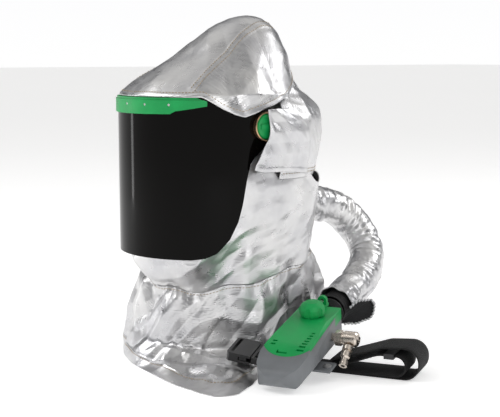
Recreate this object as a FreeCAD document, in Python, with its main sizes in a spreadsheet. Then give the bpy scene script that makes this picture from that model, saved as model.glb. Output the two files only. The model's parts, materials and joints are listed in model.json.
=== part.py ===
import FreeCAD, Part
import math
import os
import Sketcher
from FreeCAD import Placement, Rotation, Vector

# Supplied air respirator: a bump cap with a flip-up tinted visor under an aluminised hood,
# a breathing hose in a reflective sleeve, and a belt-worn air control unit on its webbing belt.
# Frame: +Z up, the wearer faces -Y, the wearer's left is +X, the hem and the unit stand on z = 0.

os.makedirs("parts", exist_ok=True)
doc = FreeCAD.newDocument("respirator")
sheet = doc.addObject("Spreadsheet::Sheet", "Dims")

DIMENSIONS = [
    # where the head axis stands in the part's frame
    ("head_across", -53.24), ("head_fore", 16.802),
    # bump cap
    ("cap_half_width", 86), ("cap_half_length", 92), ("cap_height", 94), ("cap_wall", 3),
    ("cap_centre_y", -42), ("cap_centre_z", 298), ("cap_rim_z", 285),
    # visor and the fixed face frame behind it
    ("visor_centre_y", -60), ("lens_radius", 105), ("lens_wall", 2.5), ("lens_bottom_z", 140),
    ("lens_top_z", 331.3), ("band_radius", 107.5), ("band_bottom_z", 314.5), ("flange_z", 331.6),
    ("band_top_z", 334.3),
    ("frame_radius", 98), ("frame_wall", 3), ("frame_bottom_z", 160), ("frame_top_z", 328),
    ("pivot_y", -37), ("pivot_z", 299), ("pivot_radius", 4),
    ("knob_radius", 15.5), ("knob_depth", 9), ("running_gap", 0.05),
    # fabric
    ("fabric_wall", 1.5), ("hem_z", 232), ("hose_z", 185),
    # breathing hose and its sleeve
    ("hose_radius", 19), ("hose_wall", 2), ("sleeve_radius", 24), ("sleeve_wall", 1.5),
    # belt unit, in its own frame: x along it, y across, z up
    ("unit_x", 206.3), ("unit_y", -100), ("unit_z", -3.2), ("unit_heading", 120.5),
    ("unit_tilt", 9.9), ("unit_length", 180), ("unit_height", 46), ("unit_half_width", 33),
    ("unit_low_end_x", 8), ("unit_base_z", 6),
    ("cover_start", 36), ("cover_half_width", 29.5), ("cover_base_z", 31),
    ("valve_x", 138), ("valve_radius", 16), ("collar_radius", 18),
    ("spigot_radius", 14), ("axis_z", 26), ("inlet_x", 128),
    # belt
    ("belt_width", 50), ("belt_thick", 1.8), ("belt_x", 137.4), ("belt_y", 20.3), ("belt_heading", 32),
    ("buckle_x", 129), ("buckle_y", -71), ("buckle_z", 28), ("buckle_width", 46),
    ("buckle_height", 11), ("buckle_heading", 37), ("buckle_dip", 8), ("buckle_lean", 8),
]
for row, (alias, value) in enumerate(DIMENSIONS, 1):
    sheet.set("A%d" % row, alias)
    sheet.set("B%d" % row, str(value))
    sheet.setAlias("B%d" % row, alias)
doc.recompute()

nodes = []


def dim(alias):
    return float(sheet.get(alias))


def bind(obj, prop, formula):
    """Tie a property to a formula in which every dimension is written as @alias."""
    obj.setExpression(prop, formula.replace("@", "Dims."))


def place_on_head(obj):
    """Put a sub-part modelled about the head axis into the part's frame."""
    bind(obj, "Placement.Base.x", "@head_across")
    bind(obj, "Placement.Base.y", "@head_fore")
    nodes.append(obj)
    return obj


UNIT_TURN = Rotation(dim("unit_heading"), -dim("unit_tilt"), 0)


def place_on_unit(obj):
    """Put a sub-part modelled in the belt unit's own frame into the part's frame."""
    obj.Placement = Placement(Vector(0, 0, 0), UNIT_TURN)
    bind(obj, "Placement.Base.x", "@head_across + @unit_x")
    bind(obj, "Placement.Base.y", "@head_fore + @unit_y")
    bind(obj, "Placement.Base.z", "@unit_z")
    nodes.append(obj)
    return obj


# ---- small builders -------------------------------------------------------------------------

def primitive(kind, name, at=(0, 0, 0), turn=None, **sizes):
    """A Part primitive; a size given as text is a formula on the sheet."""
    obj = doc.addObject("Part::" + kind, name)
    for prop, size in sizes.items():
        if isinstance(size, str):
            bind(obj, prop, size)
        else:
            setattr(obj, prop, size)
    obj.Placement = Placement(Vector(*at), turn or Rotation())
    return obj


def block(name, low, high):
    """An axis-parallel block between two corners."""
    size = [high[i] - low[i] for i in range(3)]
    return primitive("Box", name, at=low, Length=size[0], Width=size[1], Height=size[2])


ALONG_X = Rotation(Vector(0, 1, 0), 90)
ALONG_Y = Rotation(Vector(1, 0, 0), -90)


def cut(name, base, tool):
    obj = doc.addObject("Part::Cut", name)
    obj.Base = base
    obj.Tool = tool
    return obj


def common(name, *shapes):
    obj = doc.addObject("Part::MultiCommon", name)
    obj.Shapes = list(shapes)
    return obj


def fuse(name, *shapes):
    obj = doc.addObject("Part::MultiFuse", name)
    obj.Shapes = list(shapes)
    return obj


def polygon_prism(name, points, axis, start, end):
    """Extrude a closed outline of (a, b) points along an axis: X takes (y, z), Y (x, z), Z (x, y)."""
    lift = {"X": lambda a, b: Vector(start, a, b), "Y": lambda a, b: Vector(a, start, b),
            "Z": lambda a, b: Vector(a, b, start)}[axis]
    run = {"X": Vector(end - start, 0, 0), "Y": Vector(0, end - start, 0),
           "Z": Vector(0, 0, end - start)}[axis]
    corners = [lift(a, b) for a, b in points]
    face = Part.Face(Part.makePolygon(corners + corners[:1]))
    obj = doc.addObject("Part::Feature", name)
    obj.Shape = face.extrude(run)
    return obj


def plane_of(body, role):
    return [item for item in body.Origin.OriginFeatures if item.Role == role][0]


def new_body(name):
    return doc.addObject("PartDesign::Body", name)


def new_sketch(body, name, role, lift=0.0):
    sketch = body.newObject("Sketcher::SketchObject", name)
    sketch.AttachmentSupport = (plane_of(body, role), "")
    sketch.MapMode = "FlatFace"
    sketch.AttachmentOffset = Placement(Vector(0, 0, lift), Rotation())
    return sketch


def draw_polygon(sketch, points):
    corners = [Vector(a, b, 0) for a, b in points]
    for start, end in zip(corners, corners[1:] + corners[:1]):
        sketch.addGeometry(Part.LineSegment(start, end), False)


def draw_circle(sketch, radius_formula, centre=(0, 0), start_radius=5.0):
    circle = sketch.addGeometry(Part.Circle(Vector(*centre, 0), Vector(0, 0, 1), start_radius), False)
    rule = sketch.addConstraint(Sketcher.Constraint("Radius", circle, start_radius))
    bind(sketch, "Constraints[%d]" % rule, radius_formula)


def pad(body, sketch, name, length, reverse=False):
    feature = body.newObject("PartDesign::Pad", name)
    feature.Profile = sketch
    feature.Reversed = reverse
    if isinstance(length, str):
        bind(feature, "Length", length)
    else:
        feature.Length = length
    return feature


def pocket(body, sketch, name, length=None, reverse=False):
    feature = body.newObject("PartDesign::Pocket", name)
    feature.Profile = sketch
    feature.Reversed = reverse
    if length is None:
        feature.Type = "ThroughAll"
    else:
        feature.Length = length
    return feature


def revolve(body, sketch, name, axis="H_Axis"):
    feature = body.newObject("PartDesign::Revolution", name)
    feature.Profile = sketch
    feature.ReferenceAxis = (sketch, [axis])
    feature.Angle = 360
    return feature


def turned_piece(name, profile, role="XZ_Plane", axis="H_Axis"):
    """A revolved body: (along, radius) points about the sketch's horizontal or vertical axis."""
    body = new_body(name)
    sketch = new_sketch(body, name + "_profile", role)
    draw_polygon(sketch, profile)
    revolve(body, sketch, name + "_revolution", axis)
    return body


def u_outline(radius, rear_y):
    """Closed plan outline of the visor family: a half round in front with straight sides."""
    centre_y = dim("visor_centre_y")
    arc = Part.Arc(Vector(-radius, centre_y, 0), Vector(0, centre_y - radius, 0), Vector(radius, centre_y, 0))
    sides = [Vector(radius, centre_y, 0), Vector(radius, rear_y, 0), Vector(-radius, rear_y, 0),
             Vector(-radius, centre_y, 0)]
    edges = [arc.toShape()]
    edges += [Part.makeLine(start, end) for start, end in zip(sides, sides[1:])]
    return Part.Face(Part.Wire(edges))


def u_wall(name, outer, inner, low_z, high_z, rear_y):
    """An upright wall that follows the visor's plan, open at the rear."""
    outside = u_outline(outer, rear_y).extrude(Vector(0, 0, high_z - low_z))
    inside = u_outline(inner, rear_y + 1).extrude(Vector(0, 0, high_z - low_z))
    obj = doc.addObject("Part::Feature", name)
    shape = outside.cut(inside)
    shape.translate(Vector(0, 0, low_z))
    obj.Shape = shape
    return obj


def ellipse_wire(z, centre_y, half_x, half_y, centre_x=0.0):
    major, minor, along = half_x, half_y, Vector(1, 0, 0)
    if half_y > half_x:
        major, minor, along = half_y, half_x, Vector(0, 1, 0)
    centre = Vector(centre_x, centre_y, z)
    across = Vector(0, 0, 1).cross(along)
    curve = Part.Ellipse(centre + along * major, centre + across * minor, centre)
    return Part.Wire(curve.toShape())


def fabric_tube(sections, wall, ruled=True):
    """A fabric wall through (z, centre_y, half_x, half_y) sections, open at both ends."""
    outer = Part.makeLoft([ellipse_wire(*s) for s in sections], True, ruled)
    shrunk = [(s[0], s[1], s[2] - wall, s[3] - wall) + tuple(s[4:]) for s in sections]
    first, last = shrunk[0], shrunk[-1]
    shrunk = [(first[0] - 0.5,) + first[1:]] + shrunk[1:-1] + [(last[0] + 0.5,) + last[1:]]
    return outer.cut(Part.makeLoft([ellipse_wire(*s) for s in shrunk], True, ruled))


def feature(name, shape):
    obj = doc.addObject("Part::Feature", name)
    obj.Shape = shape
    return obj


# ---- bump cap, its suspension and its air duct ------------------------------------------------

CAP = (0, dim("cap_centre_y"), dim("cap_centre_z"))


def cap_dome(name, grow):
    sizes = [sheet_name + " + %g" % grow for sheet_name in ("@cap_height", "@cap_half_width",
                                                            "@cap_half_length")]
    return primitive("Ellipsoid", name, at=CAP, Radius1=sizes[0], Radius2=sizes[1], Radius3=sizes[2],
                     Angle1=-90, Angle2=90, Angle3=360)


def build_cap():
    shell = cut("cap_hollow", cap_dome("cap_outer", 0), cap_dome("cap_inner", -dim("cap_wall")))
    above_rim = block("cap_above_rim", (-120, -160, dim("cap_rim_z")), (120, 90, 420))
    place_on_head(common("helmet_shell", shell, above_rim))


def build_duct():
    """Flat duct over the crown: up behind the ratchet, forward, then along the dome."""
    half = 18
    strip = cut("duct_strip_shell", cap_dome("duct_outer", 8), cap_dome("duct_inner", 0.4))
    strip_zone = block("duct_strip_zone", (-half, -44, 322), (half, 60, 420))
    strip = common("duct_strip", strip, strip_zone)
    riser = block("duct_riser", (-half, 70, 216), (half, 82, 322))
    bridge = block("duct_bridge", (-half, 30, 306), (half, 82, 322))
    lower = cut("duct_lower", fuse("duct_elbow", riser, bridge), cap_dome("duct_clearance", 0.4))
    place_on_head(fuse("air_duct", strip, lower))


def build_hose_inlet():
    """Round socket for the hose with a square chimney up to the duct."""
    hose_z = dim("hose_z")
    tube = primitive("Cylinder", "inlet_tube", at=(0, 70, hose_z), turn=ALONG_Y,
                     Radius="@hose_radius - 0.5", Height=24.5)
    chimney = block("inlet_chimney", (-18, 70, hose_z), (18, 82, 215.6))
    bore = primitive("Cylinder", "inlet_bore", at=(0, 74, hose_z), turn=ALONG_Y,
                     Radius="@hose_radius - 3", Height=24)
    throat = block("inlet_throat", (-15, 72.5, hose_z), (15, 79.5, 220))
    place_on_head(cut("hose_inlet", fuse("inlet_body", tube, chimney), fuse("inlet_passage", bore, throat)))


BAND_Y = -40


def band_ring(half_x, half_y, wall, low_z, high_z):
    outer = Part.Face(ellipse_wire(low_z, BAND_Y, half_x, half_y)).extrude(Vector(0, 0, high_z - low_z))
    inner = Part.Face(ellipse_wire(low_z, BAND_Y, half_x - wall, half_y - wall))
    return outer.cut(inner.extrude(Vector(0, 0, high_z - low_z)))


def build_suspension():
    place_on_head(feature("headband", band_ring(79, 88, 2, 258, 283)))
    front = Part.makeBox(130, 60, 40, Vector(-65, BAND_Y - 100, 250))
    place_on_head(feature("sweatband", band_ring(76.8, 85.8, 4, 259, 282).common(front)))
    dome = Part.makeSphere(1)
    stretch = FreeCAD.Matrix()
    stretch.scale(78, 86.2, 87.2)
    outer = dome.transformGeometry(stretch)
    stretch = FreeCAD.Matrix()
    stretch.scale(76.8, 85, 86)
    straps = outer.cut(dome.transformGeometry(stretch))
    straps.translate(Vector(0, BAND_Y, 283.3))
    crosswise = Part.makeBox(200, 24, 100, Vector(-100, BAND_Y - 12, 283.3))
    lengthwise = Part.makeBox(24, 200, 100, Vector(-12, BAND_Y - 100, 283.3))
    place_on_head(feature("crown_straps", straps.common(crosswise.fuse(lengthwise)).removeSplitter()))
    rear_y = BAND_Y + 88
    housing = Part.makeBox(62, 9, 25, Vector(-31, rear_y + 0.3, 258))
    hollow = Part.makeCylinder(4.05, 12, Vector(0, rear_y - 1, 270.5), Vector(0, 1, 0))
    housing = housing.makeFillet(3, [edge for edge in housing.Edges if edge.tangentAt(0).y ** 2 > 0.9])
    place_on_head(feature("ratchet_housing", housing.cut(hollow)))
    knob = new_body("ratchet_knob")
    sketch = new_sketch(knob, "ratchet_disc", "XZ_Plane")
    draw_circle(sketch, "@knob_radius - 1.5", (0, 270.5))
    pad(knob, sketch, "ratchet_disc_pad", 11, reverse=True)
    grip = new_sketch(knob, "ratchet_flute", "XZ_Plane")
    draw_circle(grip, "2.2", (0, 270.5 + 14.8))
    flute = pocket(knob, grip, "ratchet_flute_cut")
    flute.Midplane = True
    doc.recompute()
    knob.Placement = Placement(Vector(0, rear_y + 9.6, 0), Rotation())
    bind(knob, "Placement.Base.x", "@head_across")
    bind(knob, "Placement.Base.y", "@head_fore + %g" % (rear_y + 9.6))
    nodes.append(knob)
    stem = turned_piece("ratchet_stem", [(0, 0), (8.6, 0), (8.6, 4), (0, 4)])
    stem.Placement = Placement(Vector(0, 0, 0), Rotation(Vector(0, 0, 1), 90))
    bind(stem, "Placement.Base.x", "@head_across")
    bind(stem, "Placement.Base.y", "@head_fore + %g" % (rear_y + 0.9))
    bind(stem, "Placement.Base.z", "270.5")
    nodes.append(stem)


# ---- face frame, window, visor ------------------------------------------------------------------

FRAME_SIDE = [(-170, 160), (-122, 160), (-76, 214), (-52, 262), (-22, 276), (-22, 320), (-60, 328),
              (-170, 328)]
LENS_SIDE_CUT = [(-20, 100), (-20, 299), (-23, 290), (-30, 281), (-38, 272), (-50, 263), (-58, 254),
                 (-63, 235), (-69, 205), (-75, 185), (-86, 164), (-101, 148), (-114, 142), (-128, 139.9),
                 (-128, 100)]
LENS_TOP_CUT = [(10, 360), (10, 299), (-20, 299), (-22.5, 308), (-29, 314), (-37, 316), (-50, 321),
                (-68, 331.4), (-68, 360)]
BAND_SIDE = [(-175, 314.4), (-146, 315.2), (-142, 318.6), (-112.5, 324.6), (-112.5, 330), (-122, 334.4),
             (-175, 334.4)]


def pivot_hole(name, grow, half_span=130):
    return primitive("Cylinder", name, at=(-half_span, dim("pivot_y"), dim("pivot_z")), turn=ALONG_X,
                     Radius="@pivot_radius + %g" % grow, Height=2 * half_span)


def build_face_frame():
    inner = dim("frame_radius") - dim("frame_wall")
    wall = u_wall("frame_wall_blank", dim("frame_radius"), inner, dim("frame_bottom_z"),
                  dim("frame_top_z"), -22)
    wall = common("frame_trimmed", wall, polygon_prism("frame_side", FRAME_SIDE, "X", -120, 120))
    opening = block("frame_opening", (-84.8, -175, 185), (84.8, -109, 312))
    wall = cut("frame_open", wall, opening)
    place_on_head(cut("face_frame", wall, pivot_hole("frame_pivot_hole", 0.0)))
    window = u_wall("window_blank", inner - 0.3, inner - 2.2, 181, 317, -50)
    place_on_head(common("inner_window", window, block("window_zone", (-90, -175, 181), (90, -100, 317))))
    gasket = u_wall("gasket_blank", inner - 2.4, inner - 4, 179, 319, -50)
    gasket = common("gasket_band", gasket, block("gasket_zone", (-90, -175, 179), (90, -102, 319)))
    gasket_hole = block("gasket_opening", (-84, -175, 188), (84, -109, 310))
    place_on_head(cut("window_gasket", gasket, gasket_hole))
    peak = u_outline(96.5, -50).extrude(Vector(0, 0, 3))
    peak.translate(Vector(0, 0, 328.3))
    place_on_head(cut("brow_peak", feature("peak_blank", peak), cap_dome("peak_clearance", 0.3)))


def build_pivots():
    for side, sign in (("left", 1), ("right", -1)):
        low, high = sorted((sign * 80, sign * 94.7))
        bracket = block("bracket_%s_blank" % side, (low, -54, 287), (high, -22, 314))
        bracket = cut("bracket_%s_fit" % side, bracket, cap_dome("bracket_%s_clearance" % side, 0.2))
        bracket_hole = pivot_hole("bracket_%s_hole" % side, 0.0)
        place_on_head(cut("pivot_bracket_" + side, bracket, bracket_hole))
        place_on_pivot(turned_piece("pivot_post_" + side, [(-4.5, 0), (15, 0), (15, 4), (-4.5, 4)]), sign, 91)
        washer = [(0.2, 4.3), (4.2, 4.3), (4.2, 13), (0.2, 13)]
        place_on_pivot(turned_piece("pivot_washer_" + side, washer), sign, 98)
        rim = [(0, 15.9), (6, 15.9), (7, 16.6), (6, 17.6), (0, 17.6)]
        place_on_pivot(turned_piece("knob_rim_" + side, rim), sign, 105.4)
        build_knob(side, sign)


def place_on_pivot(body, sign, x):
    """Stand a piece turned about local X on the pivot axis, pointing outwards."""
    body.Placement = Placement(Vector(0, 0, 0), Rotation(Vector(0, 0, 1), 0 if sign > 0 else 180))
    bind(body, "Placement.Base.x", "@head_across + %g" % (sign * x))
    bind(body, "Placement.Base.y", "@head_fore + @pivot_y")
    bind(body, "Placement.Base.z", "@pivot_z")
    nodes.append(body)


def build_knob(side, sign):
    """Domed finger knob with a raised grip bar across its face."""
    radius, depth = dim("knob_radius"), dim("knob_depth")
    knob = new_body("pivot_knob_" + side)
    profile = new_sketch(knob, "knob_%s_profile" % side, "XZ_Plane")
    draw_polygon(profile, [(0, 4.05), (0.6, radius), (depth - 4, radius), (depth - 2, radius - 1.4),
                           (depth - 1, radius - 4), (depth, 0), (0.8, 0), (0.8, 4.05)])
    revolve(knob, profile, "knob_%s_turned" % side)
    grip = new_sketch(knob, "knob_%s_grip" % side, "YZ_Plane", depth - 2.5)
    draw_polygon(grip, [(-12, -3), (12, -3), (12, 3), (-12, 3)])
    pad(knob, grip, "knob_%s_bar" % side, 3.4)
    place_on_pivot(knob, sign, 105.4)


def build_visor():
    lens_inner = dim("lens_radius") - dim("lens_wall")
    lens = u_wall("lens_blank", dim("lens_radius"), lens_inner, dim("lens_bottom_z"), dim("lens_top_z"), -20)
    lens = cut("lens_lower_trim", lens, polygon_prism("lens_lower_cut", LENS_SIDE_CUT, "X", -120, 120))
    lens = cut("lens_upper_trim", lens, polygon_prism("lens_upper_cut", LENS_TOP_CUT, "X", -120, 120))
    place_on_head(cut("visor_lens", lens, pivot_hole("lens_pivot_hole", dim("running_gap"))))
    outer, inner = dim("band_radius"), dim("lens_radius") + 0.1
    wall = u_wall("band_wall", outer, inner, dim("band_bottom_z"), dim("flange_z"), -50)
    flange = u_wall("band_flange", outer - 1.5, 92, dim("flange_z"), dim("band_top_z"), -50)
    band = fuse("band_blank", wall, flange)
    band = common("band_trimmed", band, polygon_prism("band_side", BAND_SIDE, "X", -120, 120))
    place_on_head(cut("visor_brow_band", band, rivet_holes("band_rivet_holes", 1.6)))
    place_on_head(rivets("band_rivets"))


RIVET_ANGLES = (-36, -18, 0, 18, 36)


def rivet_axis(angle, radius):
    turn = math.radians(angle)
    out = Vector(math.sin(turn), -math.cos(turn), 0)
    return Vector(0, dim("visor_centre_y"), 326) + out * radius, out


def rivet_holes(name, radius):
    pins = []
    for angle in RIVET_ANGLES:
        start, out = rivet_axis(angle, 103)
        pins.append(Part.makeCylinder(radius, 8, start, out))
    return feature(name, Part.makeCompound(pins))


def rivets(name):
    """Low round heads on the inside face of the lens with a shank into the band."""
    solids = []
    for angle in RIVET_ANGLES:
        start, out = rivet_axis(angle, 105.3)
        solids.append(Part.makeCylinder(1.5, 1.9, start, out))
    return feature(name, Part.makeCompound(solids))


# ---- aluminised fabric --------------------------------------------------------------------------

COVER_SECTIONS = [(300, -48, 116, 112), (338, -50, 113, 110), (352, -40, 99, 101), (386, -13, 72, 70),
                  (410, -2, 52, 48), (426, 3, 34, 29), (433, 9, 17, 15), (435, 10, 6, 6)]
COVER_SIDE = [(-170, 334.7), (-117, 334.7), (-108, 328.5), (-96, 320.5), (-82, 314), (-71, 311), (-58, 315),
              (-44, 319.5), (-25, 325), (0, 334), (30, 349), (48, 361), (75, 367), (75, 450), (-170, 450)]
HOOD_SECTIONS = [(232, 0, 95, 91), (262, 0, 102, 98), (290, 0, 106, 102), (312, 0, 106, 101),
                 (322, -1, 102, 96), (335, -4, 84, 66), (350, -6, 76, 60), (370, -8, 62, 55)]
HOOD_SIDE = [(30.3, 225), (30.3, 318.5), (1, 318.5), (1, 380), (120, 380), (120, 225)]


def build_crown_cover():
    wall = dim("fabric_wall")
    outer = Part.makeLoft([ellipse_wire(*s) for s in COVER_SECTIONS], True, True)
    inner = [(s[0] - wall * (s[0] > 420), s[1], max(s[2] - wall, 2), max(s[3] - wall, 2))
             for s in COVER_SECTIONS]
    inner = [(inner[0][0] - 1,) + inner[0][1:]] + inner[1:]
    shell = outer.cut(Part.makeLoft([ellipse_wire(*s) for s in inner], True, True))
    side = polygon_prism("cover_side", COVER_SIDE, "X", -150, 150)
    place_on_head(feature("crown_cover", shell.common(side.Shape)))


def build_hood_rear():
    shell = fabric_tube(HOOD_SECTIONS, dim("fabric_wall"))
    side = polygon_prism("hood_side", HOOD_SIDE, "X", -150, 150)
    place_on_head(feature("hood_rear", shell.common(side.Shape)))


CHEEK_SIDE = [(-58, 247), (-50, 244), (-25, 243), (15, 240), (40, 237), (40, 318), (-42, 318), (-42, 284),
              (-48, 275)]


def build_cheek_panels():
    """Bowed side panels from the rear seam forward over the edge of each pivot knob."""
    wall = dim("fabric_wall")
    outline = polygon_prism("cheek_outline", CHEEK_SIDE, "X", -130, 130)
    for side, sign in (("left", 1), ("right", -1)):
        arcs = []
        for inset in (0, wall):
            points = [Vector(sign * (x - inset), y, dim("hem_z")) for x, y in ((120.8, -59), (118.3, -13),
                                                                            (103.3, 30))]
            arcs.append(Part.Arc(*points).toShape())
        ends = [Part.makeLine(arcs[0].Vertexes[k].Point, arcs[1].Vertexes[k].Point) for k in (0, 1)]
        face = Part.Face(Part.Wire(Part.__sortEdges__(arcs + ends)))
        panel = face.extrude(Vector(0, 0, 318 - dim("hem_z")))
        place_on_head(feature("cheek_panel_" + side, panel.common(outline.Shape)))


SHROUD_SECTIONS = [(132, -15, 88, 112), (158, -23, 94, 114), (200, -10, 97, 100), (231.5, -2, 98, 89),
                   (264, -2, 99, 90)]
SHROUD_SIDE = [(-150, 120), (-150, 158), (-123, 158), (-121, 160.5), (-74.6, 215), (-50.8, 262), (29, 262),
               (29, 231.6), (120, 231.6), (120, 120)]


def build_shroud():
    shell = fabric_tube(SHROUD_SECTIONS, dim("fabric_wall"))
    side = polygon_prism("shroud_side", SHROUD_SIDE, "X", -150, 150)
    hole = Part.makeCylinder(dim("hose_radius") + 0.3, 60, Vector(0, 60, dim("hose_z")), Vector(0, 1, 0))
    place_on_head(feature("neck_shroud", shell.common(side.Shape).cut(hole)))
    collar = [(140, -20, 84, 104), (152, -24, 66, 74), (176, -26, 62, 66)]
    place_on_head(feature("inner_collar", fabric_tube(collar, 1.2)))


def closed_spline(z, points):
    curve = Part.BSplineCurve()
    curve.interpolate([Vector(x, y, z) for x, y in points], True)
    return Part.Wire(curve.toShape())


# hem of the cape on the ground
CAPE_HEM = [(-152, -76), (-112, -112), (-64, -143), (-10, -162), (60, -168), (130, -166), (176, -150),
            (178, -120), (146, -78), (116, -34), (88, 8), (76, 56), (54, 110), (12, 132), (-54, 126),
            (-104, 90), (-138, 40), (-156, -22)]
# height, then how far the fabric has travelled from neck to hem: over a shoulder, and over the lap
# where the buckle lies
CAPE_LEVELS = [(0, 1.0, 1.0), (14, 0.97, 0.50), (24, 0.95, -0.05), (34, 0.93, -0.09), (58, 0.85, -0.08),
               (90, 0.62, -0.01), (116, 0.26, 0.0), (131.7, 0.0, 0.0)]
LAP_DIRECTION = math.radians(-35)


def cape_outline(level, inset):
    """Blend from the neck ellipse to the hem at one height, pulled in by the fabric's thickness."""
    z, shoulder, lap = level
    points = []
    for x, y in CAPE_HEM:
        turn = math.atan2((y + 15) / 112, x / 88)
        near = Vector(88 * math.cos(turn), -15 + 112 * math.sin(turn), 0)
        far = Vector(x, y, 0)
        share = (0.5 + 0.5 * math.cos(math.atan2(y + 15, x) - LAP_DIRECTION)) ** 3
        spot = near + (far - near) * (shoulder + (lap - shoulder) * share)
        inward = Vector(0, -15, 0) - spot
        inward.normalize()
        spot += inward * inset
        points.append((spot.x, spot.y))
    return closed_spline(z, points)


def build_cape():
    wall = 2.4
    outer = Part.makeLoft([cape_outline(level, 0) for level in CAPE_LEVELS], True, True)
    low, high = CAPE_LEVELS[0], CAPE_LEVELS[-1]
    levels = [(low[0] - 0.5,) + low[1:]] + CAPE_LEVELS[1:-1] + [(high[0] + 0.5,) + high[1:]]
    inner = Part.makeLoft([cape_outline(level, wall) for level in levels], True, True)
    place_on_head(feature("shoulder_cape", outer.cut(inner)))


# ---- breathing hose in its sleeve -----------------------------------------------------------------

HOSE_ROUTE = [(0, 97.2, 185), (2, 125, 182), (1, 155, 175), (5, 181, 158), (17, 196, 134),
              (36, 194, 109), (54, 172, 90), (70, 143, 77), (88, 107, 67.5), (106.4, 69.6, 58.6)]


def rounded_path(points, report=None):
    """Straight runs joined by tangent arcs of 0.45 of the shorter run over tan(half the turn)."""
    corners = [Vector(*p) for p in points]
    edges = []
    start = corners[0]
    for before, corner, after in zip(corners, corners[1:], corners[2:]):
        back, ahead = before - corner, after - corner
        shorter = min(back.Length, ahead.Length)
        half_turn = (math.pi - back.getAngle(ahead)) / 2
        radius = 0.45 * shorter / math.tan(half_turn)
        back.normalize()
        ahead.normalize()
        reach = 0.45 * shorter
        middle = back + ahead
        middle.normalize()
        centre_distance = radius / math.cos(half_turn)
        arc_start = corner + back * reach
        arc_end = corner + ahead * reach
        arc_middle = corner + middle * (centre_distance - radius)
        edges.append(Part.makeLine(start, arc_start))
        edges.append(Part.Arc(arc_start, arc_middle, arc_end).toShape())
        start = arc_end
        if report:
            print("%s bend radius %.0f mm" % (report, radius))
    edges.append(Part.makeLine(start, corners[-1]))
    return Part.Wire(edges)


def swept_tube(path, radius):
    start = path.Edges[0].valueAt(path.Edges[0].FirstParameter)
    direction = path.Edges[0].tangentAt(path.Edges[0].FirstParameter)
    profile = Part.Wire(Part.makeCircle(radius, start, direction))
    return path.makePipeShell([profile], True, True)


def hollow_tube(name, path, radius, wall):
    tube = swept_tube(path, radius).cut(swept_tube(path, radius - wall))
    expected = math.pi * (radius ** 2 - (radius - wall) ** 2) * path.Length
    print("%s length %.0f mm, volume %.0f of %.0f mm3" % (name, path.Length, tube.Volume, expected))
    return feature(name, tube)


def build_hose():
    place_on_head(hollow_tube("breathing_hose", rounded_path(HOSE_ROUTE, "hose"), dim("hose_radius"),
                              dim("hose_wall")))
    sleeve = rounded_path(HOSE_ROUTE[:-1] + [(104.2, 74.1, 59.7)])
    place_on_head(hollow_tube("hose_sleeve", sleeve, dim("sleeve_radius"), dim("sleeve_wall")))


# ---- belt unit --------------------------------------------------------------------------------------

def rounded_polygon(points, radii, lift):
    """A closed outline with each corner rounded by its own radius; lift places a point in 3-D."""
    edges = []
    previous_end = None
    first_start = None
    count = len(points)
    for index, radius in enumerate(radii):
        corner = Vector(*points[index], 0)
        before = Vector(*points[index - 1], 0) - corner
        after = Vector(*points[(index + 1) % count], 0) - corner
        half = before.getAngle(after) / 2
        before.normalize()
        after.normalize()
        reach = radius / math.tan(half)
        start, end = corner + before * reach, corner + after * reach
        middle = before + after
        middle.normalize()
        mid = corner + middle * (radius / math.sin(half) - radius)
        if previous_end is None:
            first_start = start
        else:
            edges.append(Part.makeLine(lift(previous_end), lift(start)))
        edges.append(Part.Arc(lift(start), lift(mid), lift(end)).toShape())
        previous_end = end
    edges.append(Part.makeLine(lift(previous_end), lift(first_start)))
    return Part.Face(Part.Wire(edges))


def unit_blank(grow=0.0):
    """Outer form of the unit: plan, side and end outlines intersected."""
    length, height, half = dim("unit_length"), dim("unit_height"), dim("unit_half_width")
    low_x, base = dim("unit_low_end_x") - grow, dim("unit_base_z") - grow
    plan = [(low_x, -25 - grow), (60, -half - grow), (length + grow, -half + 8 - grow),
            (length + grow, half - 8 + grow), (60, half + grow), (low_x, 25 + grow)]
    plan_solid = rounded_polygon(plan, (22, 60, 12, 12, 60, 22), lambda p: Vector(p.x, p.y, -5))
    side = [(low_x, base), (length + grow, base), (length + grow, height - 2 + grow),
            (120, height + 1 + grow), (55, height - 4 + grow), (low_x, 27 + grow)]
    side_solid = rounded_polygon(side, (12, 5, 10, 120, 60, 11), lambda p: Vector(p.x, -60, p.y))
    end = [(-half, base + 12), (-24, base), (24, base), (half, base + 12), (half, 30), (25.5, height + 3),
           (-25.5, height + 3), (-half, 30)]
    end_solid = rounded_polygon(end, (12, 9, 9, 12, 12, 12, 12, 12), lambda p: Vector(-10, p.x, p.y))
    form = plan_solid.extrude(Vector(0, 0, 80)).common(side_solid.extrude(Vector(0, 120, 0)))
    return form.common(end_solid.extrude(Vector(250, 0, 0)))


def cover_zone(grow=0.0):
    """Plan of the top cover: round-ended towards the low end, slightly waisted."""
    half, start = dim("cover_half_width") + grow, dim("cover_start") - grow
    base = dim("cover_base_z") - grow
    arc = Part.Arc(Vector(start + 16, -half, base), Vector(start, 0, base), Vector(start + 16, half, base))
    end_x = dim("unit_length") - 6 + grow
    corners = [Vector(start + 16, half, base), Vector(end_x, half - 3, base),
               Vector(end_x, -half + 3, base), Vector(start + 16, -half, base)]
    edges = [arc.toShape()] + [Part.makeLine(a, b) for a, b in zip(corners, corners[1:])]
    return Part.Face(Part.Wire(edges)).extrude(Vector(0, 0, 40))


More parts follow.
